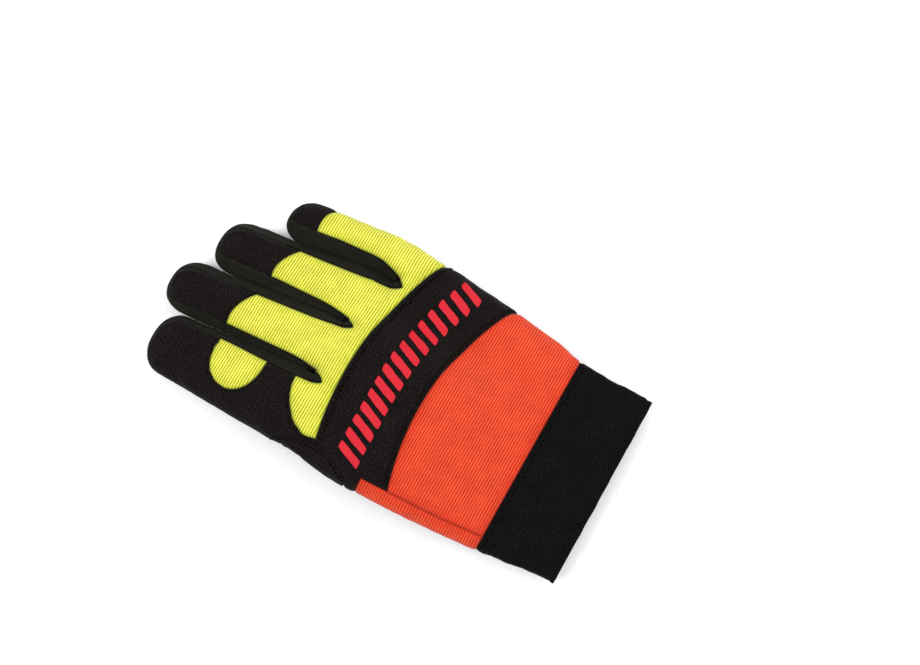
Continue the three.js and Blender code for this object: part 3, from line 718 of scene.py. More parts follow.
def grid_object(name: str, pattern: Pattern) -> bpy.types.Object:
    """Makes a grid primitive and moves its vertices to a pattern's points.

    Args:
        name: The object's name.
        pattern: The cloth to make.

    Returns:
        The object, with its flat pattern as the UV map "cloth".
    """
    deselect()
    rows, columns = pattern.q.shape
    bpy.ops.mesh.primitive_grid_add(x_subdivisions=columns - 1, y_subdivisions=rows - 1, size=1.0)
    piece = bpy.context.active_object
    piece.name = name
    order = slice(None) if pattern.outward else slice(None, None, -1)
    points = (pattern.points[:, order] + SHIFT) * MM
    points[..., 2] = np.maximum(points[..., 2], 0.05 * MM)
    piece.data.vertices.foreach_set("co", points.reshape(-1).astype(np.float32))
    flat = np.stack([pattern.arc()[:, order], pattern.y[:, order]], axis=-1).reshape(-1, 2) * MM
    corners = np.zeros(len(piece.data.loops), np.int32)
    piece.data.loops.foreach_get("vertex_index", corners)
    layer = piece.data.uv_layers[0]
    layer.name = "cloth"
    layer.uv.foreach_set("vector", flat[corners].reshape(-1).astype(np.float32))
    near = np.full(pattern.q.shape, 20.0) if pattern.near is None else pattern.near
    distance = piece.data.attributes.new("seam_distance", "FLOAT", "POINT")
    distance.data.foreach_set("value", near[:, order].reshape(-1).astype(np.float32))
    piece.data.update()
    return piece


def joined(pieces: Sequence[bpy.types.Object], weld: float = 0.02) -> bpy.types.Object:
    """Joins pieces into the first one and merges corners that meet.

    Args:
        pieces: The pieces.
        weld: Distance in mm under which corners merge.

    Returns:
        The joined piece.
    """
    deselect()
    for piece in pieces:
        piece.select_set(True)
    bpy.context.view_layer.objects.active = pieces[0]
    if len(pieces) > 1:
        bpy.ops.object.join()
    if weld:
        bpy.ops.object.mode_set(mode="EDIT")
        bpy.ops.mesh.select_all(action="SELECT")
        bpy.ops.mesh.remove_doubles(threshold=weld * MM)
        bpy.ops.object.mode_set(mode="OBJECT")
    return bpy.context.active_object


def thickened(piece: bpy.types.Object, wall: float, angle: float = 60.0) -> bpy.types.Object:
    """Gives a sheet its wall, inwards, and shades it smoothly.

    Args:
        piece: The sheet.
        wall: Thickness in mm.
        angle: Creases sharper than this stay sharp, in degrees.

    Returns:
        The same piece.
    """
    deselect()
    piece.select_set(True)
    bpy.context.view_layer.objects.active = piece
    if wall:
        solid = piece.modifiers.new("wall", "SOLIDIFY")
        solid.thickness = wall * MM
        solid.offset = -1.0
        bpy.ops.object.modifier_apply(modifier=solid.name)
    bpy.ops.object.shade_smooth_by_angle(angle=math.radians(angle))
    return piece


def dress(piece: bpy.types.Object, finish: Finish, *nodes: str) -> bpy.types.Object:
    """Gives a piece its finish and its place in the model.

    Args:
        piece: The finished mesh.
        finish: Its finish.
        nodes: The solids that it stands for.

    Returns:
        The same piece.
    """
    piece.data.materials.clear()
    piece.data.materials.append(finish.material())
    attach(piece, "root")
    if nodes:
        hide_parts(*nodes)
    piece.data.calc_loop_triangles()
    LOG.info("%s: %d triangles", piece.name, len(piece.data.loop_triangles))
    return piece


Border = Callable[[Array], Array]
Level = Callable[[Array, Array], Array]


class Spacing(Enum):
    """How rows or columns are spread between two borders."""

    EVEN = "even"
    DENSE_ENDS = "dense ends"
    DENSE_LAST = "dense last"


def shares(count: int, spacing: Spacing = Spacing.EVEN) -> Array:
    """Shares from 0 to 1 for a number of rows or columns.

    Args:
        count: How many there are.
        spacing: Where they lie closer together.

    Returns:
        The rising shares.
    """
    t = np.linspace(0.0, 1.0, count)
    if spacing is Spacing.DENSE_ENDS:
        return t - 0.68 * np.sin(2 * math.pi * t) / (2 * math.pi)
    if spacing is Spacing.DENSE_LAST:
        return 0.25 * t + 0.75 * np.sin(t * math.pi / 2)
    return t


def laid(left: Border, right: Border, levels: Sequence[Level], rows: Sequence[Array], across: Array,
         face: Face = Face.BACK) -> Pattern:
    """Fills the space between seams with a grid and lays it on the form.

    Args:
        left: Gives the left border's place across for a distance along.
        right: Gives the right border's place across for a distance along.
        levels: Give distances along, each for a share of the columns and a place across.
        rows: Shares of the rows between each level and the next.
        across: Shares of the columns.
        face: The side that the grid lies on.

    Returns:
        The laid pattern.
    """
    ends = np.cumsum([0] + [len(part) - 1 for part in rows])
    u = np.broadcast_to(across, (ends[-1] + 1, len(across)))
    y = np.full(u.shape, 130.0)
    for _ in range(6):
        q = left(y) + (right(y) - left(y)) * u
        heights = [level(u[row], q[row]) for level, row in zip(levels, ends)]
        blocks = [heights[0][None]]
        for low, high, part in zip(heights, heights[1:], rows):
            blocks.append(low + (high - low) * part[1:, None])
        y = np.concatenate(blocks)
    q = left(y) + (right(y) - left(y)) * u
    return Pattern(q, y, FORM.lay(q, y, face.value), face.value)


def fixed(value: float) -> Level:
    """A level that runs straight across."""
    return lambda u, q: np.full_like(q, value)


@dataclass(frozen=True)
class Drape:
    """How a cloth lies: how its seams pull it in and swell beside it, its ribs and its loose folds, in mm."""

    tuck: float = 0.8
    reach: float = 1.1
    stitched: float = 0.4
    ridge: float = 0.0
    rib: float = 0.0
    pitch: float = 1.0
    loose: float = 0.0
    seed: float = 0.0

    def apply(self, pattern: Pattern, seams: Sequence[Array], sewn: Sequence[Array] = (),
              tip: float = 1000.0) -> Pattern:
        """Gives a laid cloth its relief.

        Args:
            pattern: The cloth.
            seams: Lines of (q, y) at which it meets its neighbours.
            sewn: Lines of (q, y) along which stitches pull it down.
            tip: Distance along of the fingertip, where the relief fades out.

        Returns:
            The same pattern.
        """
        near = pattern.distance(seams) if seams else np.full(pattern.q.shape, 99.0)
        pattern.near = near
        height = -self.tuck * np.exp(-((near / self.reach) ** 2))
        height += self.ridge * np.exp(-(((near - 2.6) / 1.1) ** 2))
        if sewn:
            height -= self.stitched * np.exp(-((pattern.distance(sewn) / 0.75) ** 2))
        if self.rib:
            height += self.rib * np.cos(2 * math.pi * pattern.y / self.pitch) * np.clip(near / 0.8, 0.2, 1.0)
        if self.loose:
            broad = waves(pattern.q, pattern.y, 26.0, self.seed) * np.clip(near / 6.0, 0.0, 1.0)
            small = waves(pattern.q, pattern.y, 9.0, self.seed + 2.0) * np.clip(near / 4.0, 0.0, 1.0)
            height += self.loose * (broad + 0.35 * small)
        pattern.push(height * (1.0 - ramp(tip - 4.0, tip - 0.3, pattern.y)))
        return pattern


def polyline(q: Array, y: Array) -> Array:
    """A line of (q, y) from two rows of numbers."""
    return np.stack(np.broadcast_arrays(np.asarray(q, float), np.asarray(y, float)), axis=-1)


@dataclass
class SeamPlan:
    """Where the panels of the back meet, in mm from the cuff's end and the middle line."""

    arc_middle: float = -12.3
    arc_half: float = 61.5
    orange_crown: float = 98.3
    orange_bow: float = 13.0
    lime_crown: float = 139.6
    lime_bow: float = 11.0
    strip_width: float = 6.5
    strip_end: float = 106.0
    gusset_x: float = -84.0
    gusset_y: float = 134.2
    gusset_radius: float = 30.19
    web_rounding: float = 22.0

    apexes = ((-25.2, 147.2), (6.7, 147.9), (37.6, 137.8))
    seam_shares = {
        "index": (None, (0.69, 0.79)),
        "middle": ((-0.85, -0.77), (0.67, 0.66)),
        "ring": ((-0.74, -0.6), (0.64, 0.68)),
        "little": ((-0.52, -0.32), None),
    }
    strips = {"middle": (0.545, 0.2), "ring": (0.559, 0.18), "little": (0.7, 0.26)}
    tongue_x = (-49.8, -47.6, -44.8, -40.5, -35.7, -30.0, -26.0)
    tongue_y = (147.5, 150.4, 152.8, 156.1, 158.5, 159.9, 160.0)

    def orange_top(self, q: Array) -> Array:
        """The orange panel's upper edge, a low arch."""
        x = np.clip(q, -62.0, 61.0)
        return self.orange_crown - self.orange_bow * ((x - self.arc_middle) / self.arc_half) ** 2

    def lime_bottom(self, q: Array) -> Array:
        """The lime panel's lower edge, a low arch."""
        x = np.clip(q, -62.0, 61.0)
        return self.lime_crown - self.lime_bow * ((x - self.arc_middle) / self.arc_half) ** 2

    def strip_side(self, y: Array) -> Array:
        """The orange strip's inner edge along the thumb side."""
        return FORM.edge(-1, y) + self.strip_width

    def gusset_side(self, y: Array) -> Array:
        """The gusset's curved seam."""
        return self.gusset_x + np.sqrt(np.maximum(self.gusset_radius**2 - (y - self.gusset_y) ** 2, 400.0))

    def gusset_bottom(self, q: Array) -> Array:
        """The lower half of the gusset's curved seam."""
        x = np.clip(q, -62.4, self.gusset_x + self.gusset_radius)
        return self.gusset_y - np.sqrt(np.maximum(self.gusset_radius**2 - (x - self.gusset_x) ** 2, 0.0))

    def band_top(self, q: Array) -> Array:
        """The band's upper edge: the gusset's seam, then the lime panel's edge."""
        return np.where(q < self.gusset_x + self.gusset_radius, self.gusset_bottom(q), self.lime_bottom(q))

    def tongue_top(self, q: Array) -> Array:
        """The upper edge of the lime tongue at the root of the index finger."""
        return through(self.tongue_x, self.tongue_y, np.clip(q, -49.8, -26.0))

    def tongue_left(self, y: Array) -> Array:
        """The left edge of the lime tongue."""
        return through((134.0, 135.8, 142.1, 147.5, 152.0), (-50.7, -51.0, -52.0, -49.8, -49.8), y)

    def tongue_side(self, y: Array) -> Array:
        """The whole outline of the lime tongue, as a place across."""
        x = np.linspace(-49.8, -27.0, 60)
        over = np.interp(y, self.tongue_top(x), x)
        return np.where(y < 147.5, self.tongue_left(y), over)

    def seam(self, finger: Finger, side: int, y: Array) -> Array:
        """The seam along a finger's left (-1) or right (1) side."""
        ends = self.seam_shares[finger.name][0 if side < 0 else 1]
        share = np.interp(y, [finger.web + 0.13 * finger.length, finger.web + 0.55 * finger.length], ends)
        return finger.middle(y) + share * finger.half(y)

    def beside(self, gap: int, side: int, y: Array) -> Array:
        """The edge of the side cloth in a gap between fingers, rounded at the web.

        Args:
            gap: The gap's number from the thumb edge.
            side: Its left (-1) or right (1) edge.
            y: Distances from the cuff's open end.

        Returns:
            Places across.
        """
        apex_x, apex_y = self.apexes[gap]
        finger = FORM.fingers[gap if side < 0 else gap + 1]
        t = 1.0 - np.clip((y - apex_y) / self.web_rounding, 0.0, 1.0)
        return apex_x + (self.seam(finger, -side, y) - apex_x) * closing(t, 1.75)

    def left_of(self, finger: Finger, y: Array) -> Array:
        """Left border of a finger's back."""
        place = FORM.fingers.index(finger)
        return FORM.seam_q(-1, y) if place == 0 else self.beside(place - 1, 1, y)

    def right_of(self, finger: Finger, y: Array) -> Array:
        """Right border of a finger's back."""
        place = FORM.fingers.index(finger)
        return FORM.seam_q(1, y) if place == 3 else self.beside(place, -1, y)

    def strip_top(self, finger: Finger, u: Array) -> Array:
        """The slanted bow in which a finger's lime strip ends."""
        reach, skew = self.strips[finger.name]
        return finger.web + reach * finger.length + 3.0 * (1.0 - (2.0 * u - 1.0) ** 2) - skew * (u - 0.5) * finger.width

    def roots(self, q: Array) -> Array:
        """A line from web to web at which the strips leave the knuckle panel."""
        places = (-52.0, -25.2, 6.7, 37.6, 62.0)
        return np.interp(q, places, (146.4, 147.2, 147.9, 137.8, 133.5))


SEAMS = SeamPlan()


def on_surface(piece: bpy.types.Object, line: Array, face: Face, lift: float) -> Array:
    """Finds where a line of (q, y) lies on the outside of a finished piece.

    Args:
        piece: The piece.
        line: The line, as places across and along.
        face: The side that the line is on.
        lift: Height over the piece, in mm.

    Returns:
        Points in the piece's own metres.
    """
    eps = 0.2
    q, y = line[:, 0], line[:, 1]
    at = FORM.lay(q, y, face.value)
    across = FORM.lay(q + eps, y, face.value) - FORM.lay(q - eps, y, face.value)
    along = FORM.lay(q, y + eps, face.value) - FORM.lay(q, y - eps, face.value)
    out = np.cross(across, along) * (1.0 if face is Face.BACK else -1.0)
    out /= np.maximum(np.linalg.norm(out, axis=-1, keepdims=True), 1e-9)
    seen = (at + 1.5 * out + SHIFT) * MM
    points = []
    for start, way in zip(seen, out):
        found, place, _, _ = piece.closest_point_on_mesh(Vector(start))
        points.append(np.array(place) + way * lift * MM if found else start)
    return np.array(points)


@dataclass(frozen=True)
class Thread:
    """A row of sewing stitches, with its sizes in mm."""

    length: float = 1.6
    pitch: float = 2.3
    width: float = 0.55
    sink: float = 0.02
    finish: Finish = BLACK_THREAD

    def bead(self, name: str) -> bpy.types.Object:
        """One stitch: a small rounded bead along +X."""
        deselect()
        bpy.ops.mesh.primitive_uv_sphere_add(segments=6, ring_count=4, radius=0.5)
        bead = bpy.context.active_object
        bead.name = name
        bead.data.uv_layers[0].name = "cloth"
        bpy.ops.object.mode_set(mode="EDIT")
        bpy.ops.mesh.select_all(action="SELECT")
        size = (self.width * MM, self.width * MM, self.length * MM)
        bpy.ops.transform.resize(value=size)
        bpy.ops.transform.rotate(value=math.pi / 2, orient_axis="Y", center_override=(0.0, 0.0, 0.0))
        bpy.ops.transform.translate(value=(self.length * MM / 2, 0.0, 0.0))
        bpy.ops.object.mode_set(mode="OBJECT")
        return bead

    def row(self, name: str, piece: bpy.types.Object, line: Array, face: Face = Face.BACK) -> bpy.types.Object:
        """Sews a row of stitches along a line on a piece.

        Args:
            name: The row's name.
            piece: The cloth that it is sewn into.
            line: The line, as (q, y) in mm.
            face: The side that the line is on.

        Returns:
            The row.
        """
        points = on_surface(piece, line, face, self.width * 0.3 - self.sink)
        run = float(np.linalg.norm(np.diff(points, axis=0), axis=1).sum()) / MM
        curve = bpy.data.curves.new(name + "_path", "CURVE")
        curve.dimensions = "3D"
        spline = curve.splines.new("POLY")
        spline.points.add(len(points) - 1)
        spline.points.foreach_set("co", np.hstack([points, np.ones((len(points), 1))]).reshape(-1))
        path = bpy.data.objects.new(name + "_path", curve)
        bpy.context.collection.objects.link(path)
        stitches = self.bead(name)
        repeat = stitches.modifiers.new("repeat", "ARRAY")
        repeat.count = max(2, int(run / self.pitch))
        repeat.use_relative_offset = False
        repeat.use_constant_offset = True
        repeat.constant_offset_displace = (run / repeat.count * MM, 0.0, 0.0)
        follow = stitches.modifiers.new("follow", "CURVE")
        follow.object = path
        for modifier in ("repeat", "follow"):
            bpy.ops.object.modifier_apply(modifier=modifier)
        bpy.data.objects.remove(path)
        bpy.ops.object.shade_smooth()
        return dress(stitches, self.finish)


@dataclass
class BackPanels:
    """The panels over the back of the hand, from the cuff to the finger strips."""

    wall: float = 1.2
    lime_drape: Drape = Drape(tuck=0.75, reach=1.0, rib=0.17, pitch=LIME.pitch, loose=0.3, seed=0.4)
    orange_drape: Drape = Drape(tuck=0.75, reach=0.9, rib=0.11, pitch=ORANGE.pitch, loose=0.45, seed=1.9)
    suede_drape: Drape = Drape(tuck=0.9, reach=1.1, ridge=0.3, loose=0.4, seed=3.1)

    def side_strip(self) -> bpy.types.Object:
        """The narrow orange strip that wraps the thumb edge."""
        pattern = laid(lambda y: FORM.seam_q(-1, y), SEAMS.strip_side, [fixed(41.0), fixed(SEAMS.strip_end)],
                       [shares(331)], shares(12, Spacing.DENSE_ENDS))
        self.orange_drape.apply(pattern, pattern.border("lrbt"))
        return dress(thickened(grid_object("side_strip", pattern), self.wall), ORANGE, "side_strip")

    def back_panel(self) -> bpy.types.Object:
        """The orange panel over the back of the hand."""
        pattern = laid(SEAMS.strip_side, lambda y: FORM.seam_q(1, y),
                       [fixed(41.0), lambda u, q: SEAMS.orange_top(q)], [shares(286)],
                       shares(76, Spacing.DENSE_ENDS))
        self.orange_drape.apply(pattern, pattern.border("lrbt"))
        return dress(thickened(grid_object("back_panel", pattern), self.wall), ORANGE, "back_panel")

    def back_band(self) -> bpy.types.Object:
        """The black band between the orange and the lime panels, cut out around the orange strip's end."""
        ends, upper = SEAMS.strip_end, shares(46, Spacing.DENSE_ENDS)
        beside = laid(lambda y: FORM.seam_q(-1, y), SEAMS.strip_side, [fixed(ends), lambda u, q: SEAMS.band_top(q)],
                      [upper], shares(20, Spacing.DENSE_ENDS))
        lower = 1.0 - shares(30, Spacing.DENSE_LAST)[::-1]
        above = laid(SEAMS.strip_side, lambda y: FORM.seam_q(1, y),
                     [lambda u, q: SEAMS.orange_top(q), fixed(ends), lambda u, q: SEAMS.band_top(q)],
                     [lower, upper], shares(130, Spacing.DENSE_ENDS))
        corner = above.border("l")[0][: len(lower)]
        seams = beside.border("lbt") + above.border("rbt") + [corner]
        sewn = [polyline(self.row_q, SEAMS.lime_bottom(self.row_q) - off) for off in (1.6, 4.2)]
        for patch in (beside, above):
            self.suede_drape.apply(patch, seams, sewn)
        parts = [grid_object("back_band", patch) for patch in (beside, above)]
        return dress(thickened(joined(parts), self.wall), SUEDE, "back_band")

    @property
    def row_q(self) -> Array:
        """Places across of the stitched rows along the lime edge."""
        return np.linspace(-50.0, 64.0, 150)

    def thumb_gusset(self) -> bpy.types.Object:
        """The small gusset that wraps the thumb edge under the index finger."""
        pattern = laid(lambda y: FORM.seam_q(-1, y), SEAMS.gusset_side, [fixed(113.0), fixed(155.3)],
                       [shares(60, Spacing.DENSE_ENDS)], shares(26, Spacing.DENSE_ENDS))
        self.suede_drape.apply(pattern, pattern.border("lr"))
        return dress(thickened(grid_object("thumb_gusset", pattern), self.wall), SUEDE, "thumb_gusset")

    def knuckle_panel(self) -> bpy.types.Object:
        """The lime panel over the knuckles, with a tongue and three finger strips."""
        patches = []
        for finger, count, rows in zip(FORM.fingers, (30, 34, 34, 34), (48, 226, 214, 208)):
            first = finger is FORM.index
            left = SEAMS.tongue_left if first else (lambda y, f=finger: SEAMS.left_of(f, y))
            top = (lambda u, q: SEAMS.tongue_top(q)) if first else (lambda u, q, f=finger: SEAMS.strip_top(f, u))
            patches.append(laid(left, lambda y, f=finger: SEAMS.right_of(f, y),
                                [lambda u, q: SEAMS.lime_bottom(q), lambda u, q: SEAMS.roots(q), top],
                                [shares(46), shares(rows)], shares(count, Spacing.DENSE_ENDS)))
        seams = []
        for finger, patch in zip(FORM.fingers, patches):
            root = 45
            seams += patch.border("bt")
            left, right = patch.border("lr")
            seams.append(left if finger is FORM.index else left[root:])
            seams.append(right if finger is FORM.little else right[root:])
        for patch in patches:
            self.lime_drape.apply(patch, seams)
        parts = [grid_object("knuckle_panel", patch) for patch in patches]
        return dress(thickened(joined(parts), self.wall), LIME, "knuckle_panel")

    def build(self) -> list[bpy.types.Object]:
        """Builds every panel of the back."""
        return [self.side_strip(), self.back_panel(), self.back_band(), self.thumb_gusset(), self.knuckle_panel()]


@dataclass
class FingerBacks:
    """The black backs of the index finger and the fingertips, and the index finger's lime patch."""

    wall: float = 1.2
    patch_middle: float = 190.5
    patch_half: float = 14.0
    patch_width: float = 22.0
    suede_drape: Drape = Drape(tuck=0.8, reach=1.1, ridge=0.25, loose=0.35, seed=5.2)
    lime_drape: Drape = Drape(tuck=0.7, reach=1.0, rib=0.17, pitch=LIME.pitch, loose=0.1, seed=0.9)

    def patch_left(self, y: Array) -> Array:
        """The round edge of the lime patch."""
        cosine = np.clip((y - self.patch_middle) / self.patch_half, -1.0, 1.0)
        return SEAMS.right_of(FORM.index, y) - self.patch_width * np.sqrt(1.0 - cosine**2) ** 0.75

    def patch_outline(self) -> Array:
        """The patch's round edge as a line of (q, y)."""
        angle = np.linspace(0.0, math.pi, 60)
        y = self.patch_middle + self.patch_half * np.cos(angle)
        return polyline(self.patch_left(y), y)

    def index_back(self) -> bpy.types.Object:
        """The black back of the index finger, around its lime tongue and patch."""
        index = FORM.index

        def left(y: Array) -> Array:
            turn = ramp(154.6, 155.8, y)
            return SEAMS.gusset_side(np.minimum(y, 155.2)) * (1 - turn) + FORM.seam_q(-1, y) * turn

        def right(y: Array) -> Array:
            turn = ramp(159.2, 160.4, y)
            return SEAMS.tongue_side(y) * (1 - turn) + SEAMS.right_of(index, y) * turn

        pattern = laid(left, right, [fixed(134.6), fixed(160.0), fixed(215.0), fixed(index.tip)],
                       [shares(60), shares(130), shares(36, Spacing.DENSE_LAST)], shares(56, Spacing.DENSE_ENDS))
        edge = self.patch_outline()
        near = pattern.distance([edge])
        inside = (pattern.q > self.patch_left(pattern.y)) & (np.abs(pattern.y - self.patch_middle) < self.patch_half)
        shut = np.where(inside, 1.0, 1.0 - ramp(0.0, 1.2, near))
        self.suede_drape.apply(pattern, pattern.border("lr"), tip=index.tip)
        pattern.push(-1.0 * shut)
        return dress(thickened(joined([grid_object("index_back", pattern)]), self.wall), SUEDE, "index_back")

    def index_patch(self) -> bpy.types.Object:
        """The lime patch let into the back of the index fingertip."""
        inside = self.patch_half - 0.2
        low, high = self.patch_middle - inside, self.patch_middle + inside
        pattern = laid(self.patch_left, lambda y: SEAMS.right_of(FORM.index, y), [fixed(low), fixed(high)],
                       [shares(112)], shares(30, Spacing.DENSE_ENDS))
        self.lime_drape.apply(pattern, pattern.border("lrbt"))
        return dress(thickened(joined([grid_object("index_patch", pattern)]), self.wall), LIME, "index_patch")

    def tip_back(self, finger: Finger) -> bpy.types.Object:
        """The black back of one fingertip."""
        pattern = laid(lambda y: SEAMS.left_of(finger, y), lambda y: SEAMS.right_of(finger, y),
                       [lambda u, q: SEAMS.strip_top(finger, u), fixed(finger.tip)],
                       [shares(46, Spacing.DENSE_LAST)], shares(34, Spacing.DENSE_ENDS))
        self.suede_drape.apply(pattern, pattern.border("lrb"), tip=finger.tip)
        name = f"{finger.name}_tip"
        return dress(thickened(joined([grid_object(name, pattern)]), self.wall), SUEDE, name)

    def build(self) -> list[bpy.types.Object]:
        """Builds the backs of all fingers."""
        return [self.index_back(), self.index_patch()] + [self.tip_back(f) for f in FORM.fingers[1:]]


@dataclass
class SideCloths:
    """The smooth dark cloths that form the walls between the fingers."""

    wall: float = 1.0
    underside_share: float = 0.985
    hollow: float = 1.1
    bulge: float = 1.5
    drape: Drape = Drape(tuck=0.7, reach=1.0, loose=0.3, seed=7.7)

    def wall_pattern(self, gap: int, side: int, upper: int = 14, lower: int = 8, rows: int = 90) -> Pattern:
        """One wall of a gap, from its seam on the back to its seam on the palm side.

        Args:
            gap: The gap's number from the thumb edge.
            side: -1 for the left finger's wall, 1 for the right finger's.
            upper: Columns on the back.
            lower: Columns on the palm side.
            rows: Rows from the web to the fingertip.

        Returns:
            The wall.
        """
        finger = FORM.fingers[gap if side < 0 else gap + 1]
        web = self.web(gap)
        half_y = web + (finger.tip - web) * shares(rows, Spacing.DENSE_LAST)
        y = np.broadcast_to(half_y[:, None], (rows, upper + lower))
        middle, half = finger.middle(y), np.maximum(finger.half(y), 1e-3)
        edge = SEAMS.beside(gap, side, y)
        first = np.clip(-side * (edge - middle) / half, 0.05, 0.995)
        turn = np.arcsin(first[:, :upper] ** 1.2)
        turn = turn + (math.pi / 2 - turn) * np.linspace(0.0, 1.0, upper)
        over = np.sin(turn) ** (1 / 1.2)
        last = (1.0 - self.underside_share**3.6) ** (1 / 3.6)
        under = (1.0 - (last * np.linspace(1 / lower, 1.0, lower)) ** 3.6) ** (1 / 3.6)
        c = np.concatenate([over, np.broadcast_to(under, (rows, lower))], axis=1)
        x = middle - side * c * half
        z_over = FORM.of_finger(finger, x, y, True)
        at_web = np.full_like(y, web)
        blend = FORM.height(x, at_web, True) - FORM.of_finger(finger, x, at_web, True)
        near_web = (y < web + 3.0) & (np.abs(blend) < 5.0)
        z_over = z_over + np.where(near_web, blend * (1.0 - ramp(0.0, 3.0, y - web)), 0.0)
        z_under = FORM.of_finger(finger, x, y, False)
        z = np.concatenate([z_over[:, :upper], z_under[:, upper:]], axis=1)
        flat = np.concatenate([[0.0], np.cumsum(np.hypot(np.diff(x[rows // 3]), np.diff(z[rows // 3])))])
        q = -side * np.broadcast_to(flat, y.shape)
        return Pattern(q, y, np.stack([x, y, z], axis=-1), side < 0)

    def web(self, gap: int) -> float:
        """Distance along at which the hand ends in a gap."""
        between_fingers = FORM.fingers[gap + 1].left
        return float(FORM.web_line(np.float64(between_fingers)))

    def apex_pattern(self, gap: int, walls: Sequence[Pattern], upper: int = 14, rows: int = 22) -> Pattern:
        """The rounded end of a gap, down to where the hand's skin ends between the fingers."""
        across = np.concatenate([walls[0].points[0, :upper, 0], walls[1].points[0, :upper, 0][::-1]])
        share = (across - across[0]) / (across[-1] - across[0])
        start, web = SEAMS.apexes[gap][1], self.web(gap)
        y = start + (web - start) * shares(rows, Spacing.DENSE_LAST)
        y = np.broadcast_to(y[:, None], (rows, len(across)))
        left, right = SEAMS.beside(gap, -1, y), SEAMS.beside(gap, 1, y)
        x = left + (right - left) * share
        z = FORM.height(x, y, True)
        return Pattern(x - across[0], y, np.stack([x, y, z], axis=-1))

    def under_pattern(self, gap: int) -> Pattern:
        """The small cloth that closes the web from the palm side."""
        web, middle = self.web(gap), FORM.fingers[gap + 1].left
        across = np.linspace(-5.0, 5.0, 31)
        x = np.broadcast_to(middle + across, (16, 31))
        limit = FORM.web_line(x) - 0.002
        y = limit - 3.5 * (1.0 - shares(16, Spacing.DENSE_LAST)[:, None])
        z = FORM.height(x, y, False) + 0.35
        return Pattern(x - middle, y, np.stack([x, y, z], axis=-1), False)

    def touching(self, gap: int, y: Array) -> Array:
        """How far each wall of a gap bulges out, so that two fingers lean on each other.

        Args:
            gap: The gap's number from the thumb edge.
            y: Distances from the cuff's open end.

        Returns:
            Heights in mm, which fade out towards the fingertips.
        """
        left, right = FORM.fingers[gap : gap + 2]
        open_by = right.middle(y) - right.half(y) - left.middle(y) - left.half(y)
        along = (y - self.web(gap)) / left.length
        fade = ramp(0.03, 0.1, along) * (1.0 - ramp(0.45, 0.75, along))
        return np.clip(0.5 * open_by + 0.05, 0.0, self.bulge) * fade

    def side_cloth(self, gap: int) -> bpy.types.Object:
        """Both walls of one gap with the rounded cloth at its web."""
        walls = [self.wall_pattern(gap, side) for side in (-1, 1)]
        apex = self.apex_pattern(gap, walls)
        self.drape.apply(apex, apex.border("lr"))
        for wall, finger in zip(walls, FORM.fingers[gap : gap + 2]):
            self.drape.apply(wall, wall.border("lr"), tip=finger.tip)
            across = np.linspace(0.0, 1.0, 14)
            hollow = np.concatenate([np.sin(math.pi * across**0.8) ** 2, np.zeros(wall.q.shape[1] - 14)])
            fade = ramp(0.0, 6.0, wall.y - self.web(gap)) * ramp(0.0, 12.0, finger.tip - wall.y)
            wall.push(-self.hollow * hollow * fade)
            wall.push(self.touching(gap, wall.y) * np.exp(-(((np.arange(wall.q.shape[1]) - 15.0) / 3.5) ** 2)))
        first, second = FORM.fingers[gap], FORM.fingers[gap + 1]
        name = f"fourchette_{first.name}_{second.name}"
        parts = [grid_object(name, pattern) for pattern in (*walls, apex, self.under_pattern(gap))]
        return dress(thickened(joined(parts, 0.05), self.wall), SIDE_CLOTH, name)

    def build(self) -> list[bpy.types.Object]:
        """Builds the side cloths of the three gaps."""
        return [self.side_cloth(gap) for gap in range(3)]


